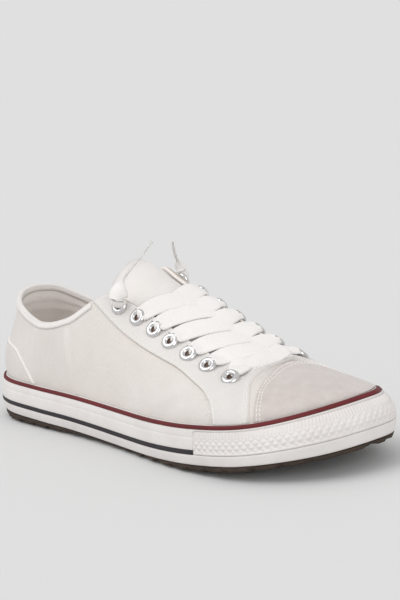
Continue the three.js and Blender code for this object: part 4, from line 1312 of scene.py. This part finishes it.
def grown(name, mesh, tree, values):
    """The tree's result on a mesh, as a plain mesh piece."""
    group, sockets = tree
    source = add_object(name + "_lines", mesh)
    modifier = source.modifiers.new("grow", "NODES")
    modifier.node_group = group
    for key, value in values.items():
        modifier[sockets[key].identifier] = value
    evaluated = source.evaluated_get(bpy.context.evaluated_depsgraph_get())
    result = bpy.data.meshes.new_from_object(evaluated)
    result.name = name
    source.modifiers.remove(modifier)
    bpy.data.objects.remove(source)
    return add_object(name, result)


def line_mesh(name, lines):
    """Lines of points in millimetres as one mesh of edges."""
    points, edges = [], []
    for line in lines:
        base = len(points)
        points += (np.asarray(line) * MM).tolist()
        edges += [(base + i, base + i + 1) for i in range(len(line) - 1)]
    mesh = bpy.data.meshes.new(name)
    mesh.from_pydata(points, edges, [])
    return mesh


def beside(rows, distance, left):
    """A seam's line moved sideways over the cloth."""
    line = seam_line(rows, 0.8) * SCALE
    tangent = unit(np.gradient(line, axis=0))
    normal = np.stack([-tangent[:, 1], tangent[:, 0]], -1)
    return (line + normal * (distance if left else -distance)) / SCALE


def on_skin(line, offset):
    keep = (line[:, 1] > 0.035) & (line[:, 1] < 0.985)
    line = line[keep]
    return skin(line[:, 0], line[:, 1], offset)


def both_sides(line):
    return [line, np.stack([COUNT - line[:, 0], line[:, 1]], -1)]


def stitches():
    top = OVERLAY + GAP + 0.05
    rows = [(FRONT_SEAM[:6], 1.6, True), (FRONT_SEAM[:6], 3.2, True), (REAR_SEAM, 1.6, True),
            (CAP_SEAM, 1.7, False), (CAP_SEAM, 3.4, False), (COUNTER_SEAM, 2.6, False)]
    seams = [beside(*row) for row in rows]
    seams.append(np.stack([np.linspace(4.9, 10.9, 200), np.full(200, 0.962)], -1))
    seams += [seam_line(ends, 0.8) for ends in BAR_TACKS]
    lines = [on_skin(line, top) for seam in seams for line in both_sides(seam)]
    mesh = line_mesh("stitch_lines", lines)
    values = {"pitch": 2.3 * MM, "length": 1.9 * MM, "width": 0.42 * MM, "thread": THREAD}
    return grown("stitches", mesh, stitch_tree(), values)


# From this station on the eyestay's edge is folded; behind it the cut edge carries painted seam shade

FOLDED_FROM = 7.8

# How far the rings turn out from the cloth's face; how high rings and painted bore-shade discs sit on it

RING_TURN = 0.35
RING_SEAT = OVERLAY + GAP + 0.7
BORE_SEAT = OVERLAY + GAP + 0.45
BORE_RADIUS = 1.9
BORE_SIDES = 20


def eyelet_places():
    s = np.concatenate([EYELETS["s"], COUNT - EYELETS["s"]])
    t = np.concatenate([EYELETS["t"], EYELETS["t"]])
    return s, t


def ring_facing(s, t):
    return unit(face_normal(s, t) + RING_TURN * outward(np.mod(s, COUNT)))


def eyelets():
    s, t = eyelet_places()
    facing = ring_facing(s, t)
    places = face(s, t) + face_normal(s, t) * RING_SEAT
    mesh = bpy.data.meshes.new("eyelet_points")
    mesh.from_pydata((places * MM).tolist(), [], [])
    stored = mesh.attributes.new("facing", "FLOAT_VECTOR", "POINT")
    stored.data.foreach_set("vector", facing.ravel())
    values = {"radius": 3.15 * MM, "band": 1.65 * MM, "dome": 1.45 * MM, "finish": METAL}
    return grown("eyelet_rings", mesh, ring_tree(), values)


def add_bore_shade_discs():
    """Painted shade inside each ring's bore: a thin dark disc where the hole is in shade."""
    s, t = eyelet_places()
    facing = ring_facing(s, t)
    centre = face(s, t) + face_normal(s, t) * BORE_SEAT
    points, faces = [], []
    sides = BORE_SIDES
    for place, up in zip(centre, facing):
        aside = unit(np.cross(up, [0, 0, 1.0]))
        other = np.cross(up, aside)
        base = len(points)
        for depth in (0.0, -0.6):
            for k in range(sides):
                turn = 2 * pi * k / sides
                points.append(place + (aside * cos(turn) + other * sin(turn)) * BORE_RADIUS + up * depth)
        faces.append(tuple(range(base, base + sides)))
        faces.append(tuple(reversed(range(base + sides, base + 2 * sides))))
        for k in range(sides):
            n = (k + 1) % sides
            faces.append((base + k, base + sides + k, base + sides + n, base + n))
    return add_mesh("bore_shade_discs", np.array(points), faces, PAINTED_BORE_SHADE)


# Assembly

def settle(piece, slot, *nodes):
    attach(piece, "root")
    if nodes:
        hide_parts(*nodes)
    return piece


settle(sidewall(), "white_rubber", "midsole")
red_stations = around(SIDE_COLUMNS)
settle(stripe("red_line", red_stations, LINE_LOW + 0.05, CUP_HEIGHT, STRIPE_DEPTH, True, RED),
       "red_rubber", "red_stripe")
black_stations = np.linspace(BUMPER_TO + 0.01, COUNT + BUMPER_FROM - 0.01, 360)
settle(stripe("black_line", black_stations, BLACK_LOW + 0.15, BLACK_HIGH - 0.15, BLACK_DEPTH - 0.1,
              False, BLACK), "black_rubber", "black_stripe")
settle(toe_bumper(), "white_rubber", "toe_bumper")
settle(outsole(), "tread_rubber", "outsole")
settle(footbed(), "lining_cloth", "insole")
settle(wall(), "canvas", "upper")
# The eyestays' cut edges are painted dark as the shade along their seams
settle(overlay("eyestay_outer", eyestay_outline(), CANVAS_BRIGHT, CUT_EDGE_AND_SEAM_SHADE,
               folded=lambda s: s > FOLDED_FROM), "canvas", "eyestay_lateral")
settle(overlay("eyestay_inner", flipped(eyestay_outline()), CANVAS_BRIGHT, CUT_EDGE_AND_SEAM_SHADE,
               folded=lambda s: s < COUNT - FOLDED_FROM), "canvas", "eyestay_medial")
settle(overlay("suede_toe_cap", cap_outline(), SUEDE, SUEDE_EDGE), "suede", "toe_cap")
settle(overlay("heel_counter_cloth", counter_outline(), CANVAS, TAPE, thickness=0.5, piping=0.3),
       "canvas", "heel_counter")
settle(collar_roll(), "canvas", "collar_binding")
settle(tongue(), "canvas", "tongue")
rings = [f"eyelet_{side}_{i}" for side in ("lateral", "medial") for i in range(1, 8)]
settle(eyelets(), "eyelet_metal", *rings)
# Thin dark discs in the rings: painted shade of the eyelets' bores
settle(add_bore_shade_discs(), "black_rubber")
settle(laces(), "lace_cotton", *[f"lace_crossing_{i}" for i in range(1, 7)])
settle(stitches(), "lace_cotton")

for name, route, tag_from, size, node in (("lace_end_outer", LACE_END_OUTER, 15.0, 1.0, "lateral"),
                                          ("lace_end_inner", LACE_END_INNER, 14.0, 0.8, "medial")):
    end, fold, tag, line, length = lace_end(name, route, tag_from, size)
    settle(end, "lace_cotton", f"lace_end_{node}")
    settle(fold, "lace_cotton")
    settle(tag, "clear_tag", f"lace_tag_{node}")


# Floor and light: a key from the left, a fill from the front right, and a floor whose tone makes
# the lit floor as bright as the world behind it

BACKGROUND = 0.745
KEY = 0.9
KEY_FROM = Vector((-0.35, -0.62, 0.95))
FILL = 0.7
FILL_FROM = Vector((0.88, -0.42, 0.40))


def add_floor():
    lit = KEY * KEY_FROM.normalized().z + FILL * FILL_FROM.normalized().z
    tone = BACKGROUND / (BACKGROUND + lit / pi)
    material, _, shader = new_material("studio_floor")
    put(shader, Base_Color=(tone, tone, tone, 1.0), Roughness=1.0, Specular_IOR_Level=0.0)
    half = 12.0
    mesh = bpy.data.meshes.new("floor")
    mesh.from_pydata([(-half, -half, 0), (half, -half, 0), (half, half, 0), (-half, half, 0)], [],
                     [(0, 1, 2, 3)])
    mesh.materials.append(material)
    add_object("floor", mesh)


def add_light(name, energy, place):
    data = bpy.data.lights.new(name, "SUN")
    data.energy = energy
    data.angle = radians(40)
    light = add_object(name, data)
    light.rotation_euler = place.to_track_quat("Z", "Y").to_euler()


def add_world():
    world = bpy.data.worlds.new("studio")
    world.use_nodes = True
    background = world.node_tree.nodes["Background"]
    background.inputs["Color"].default_value = (BACKGROUND, BACKGROUND, BACKGROUND, 1.0)
    background.inputs["Strength"].default_value = 1.0
    bpy.context.scene.world = world


add_floor()
add_world()
add_light("key", KEY, KEY_FROM)
add_light("fill", FILL, FILL_FROM)
bpy.context.scene.view_settings.view_transform = "Standard"
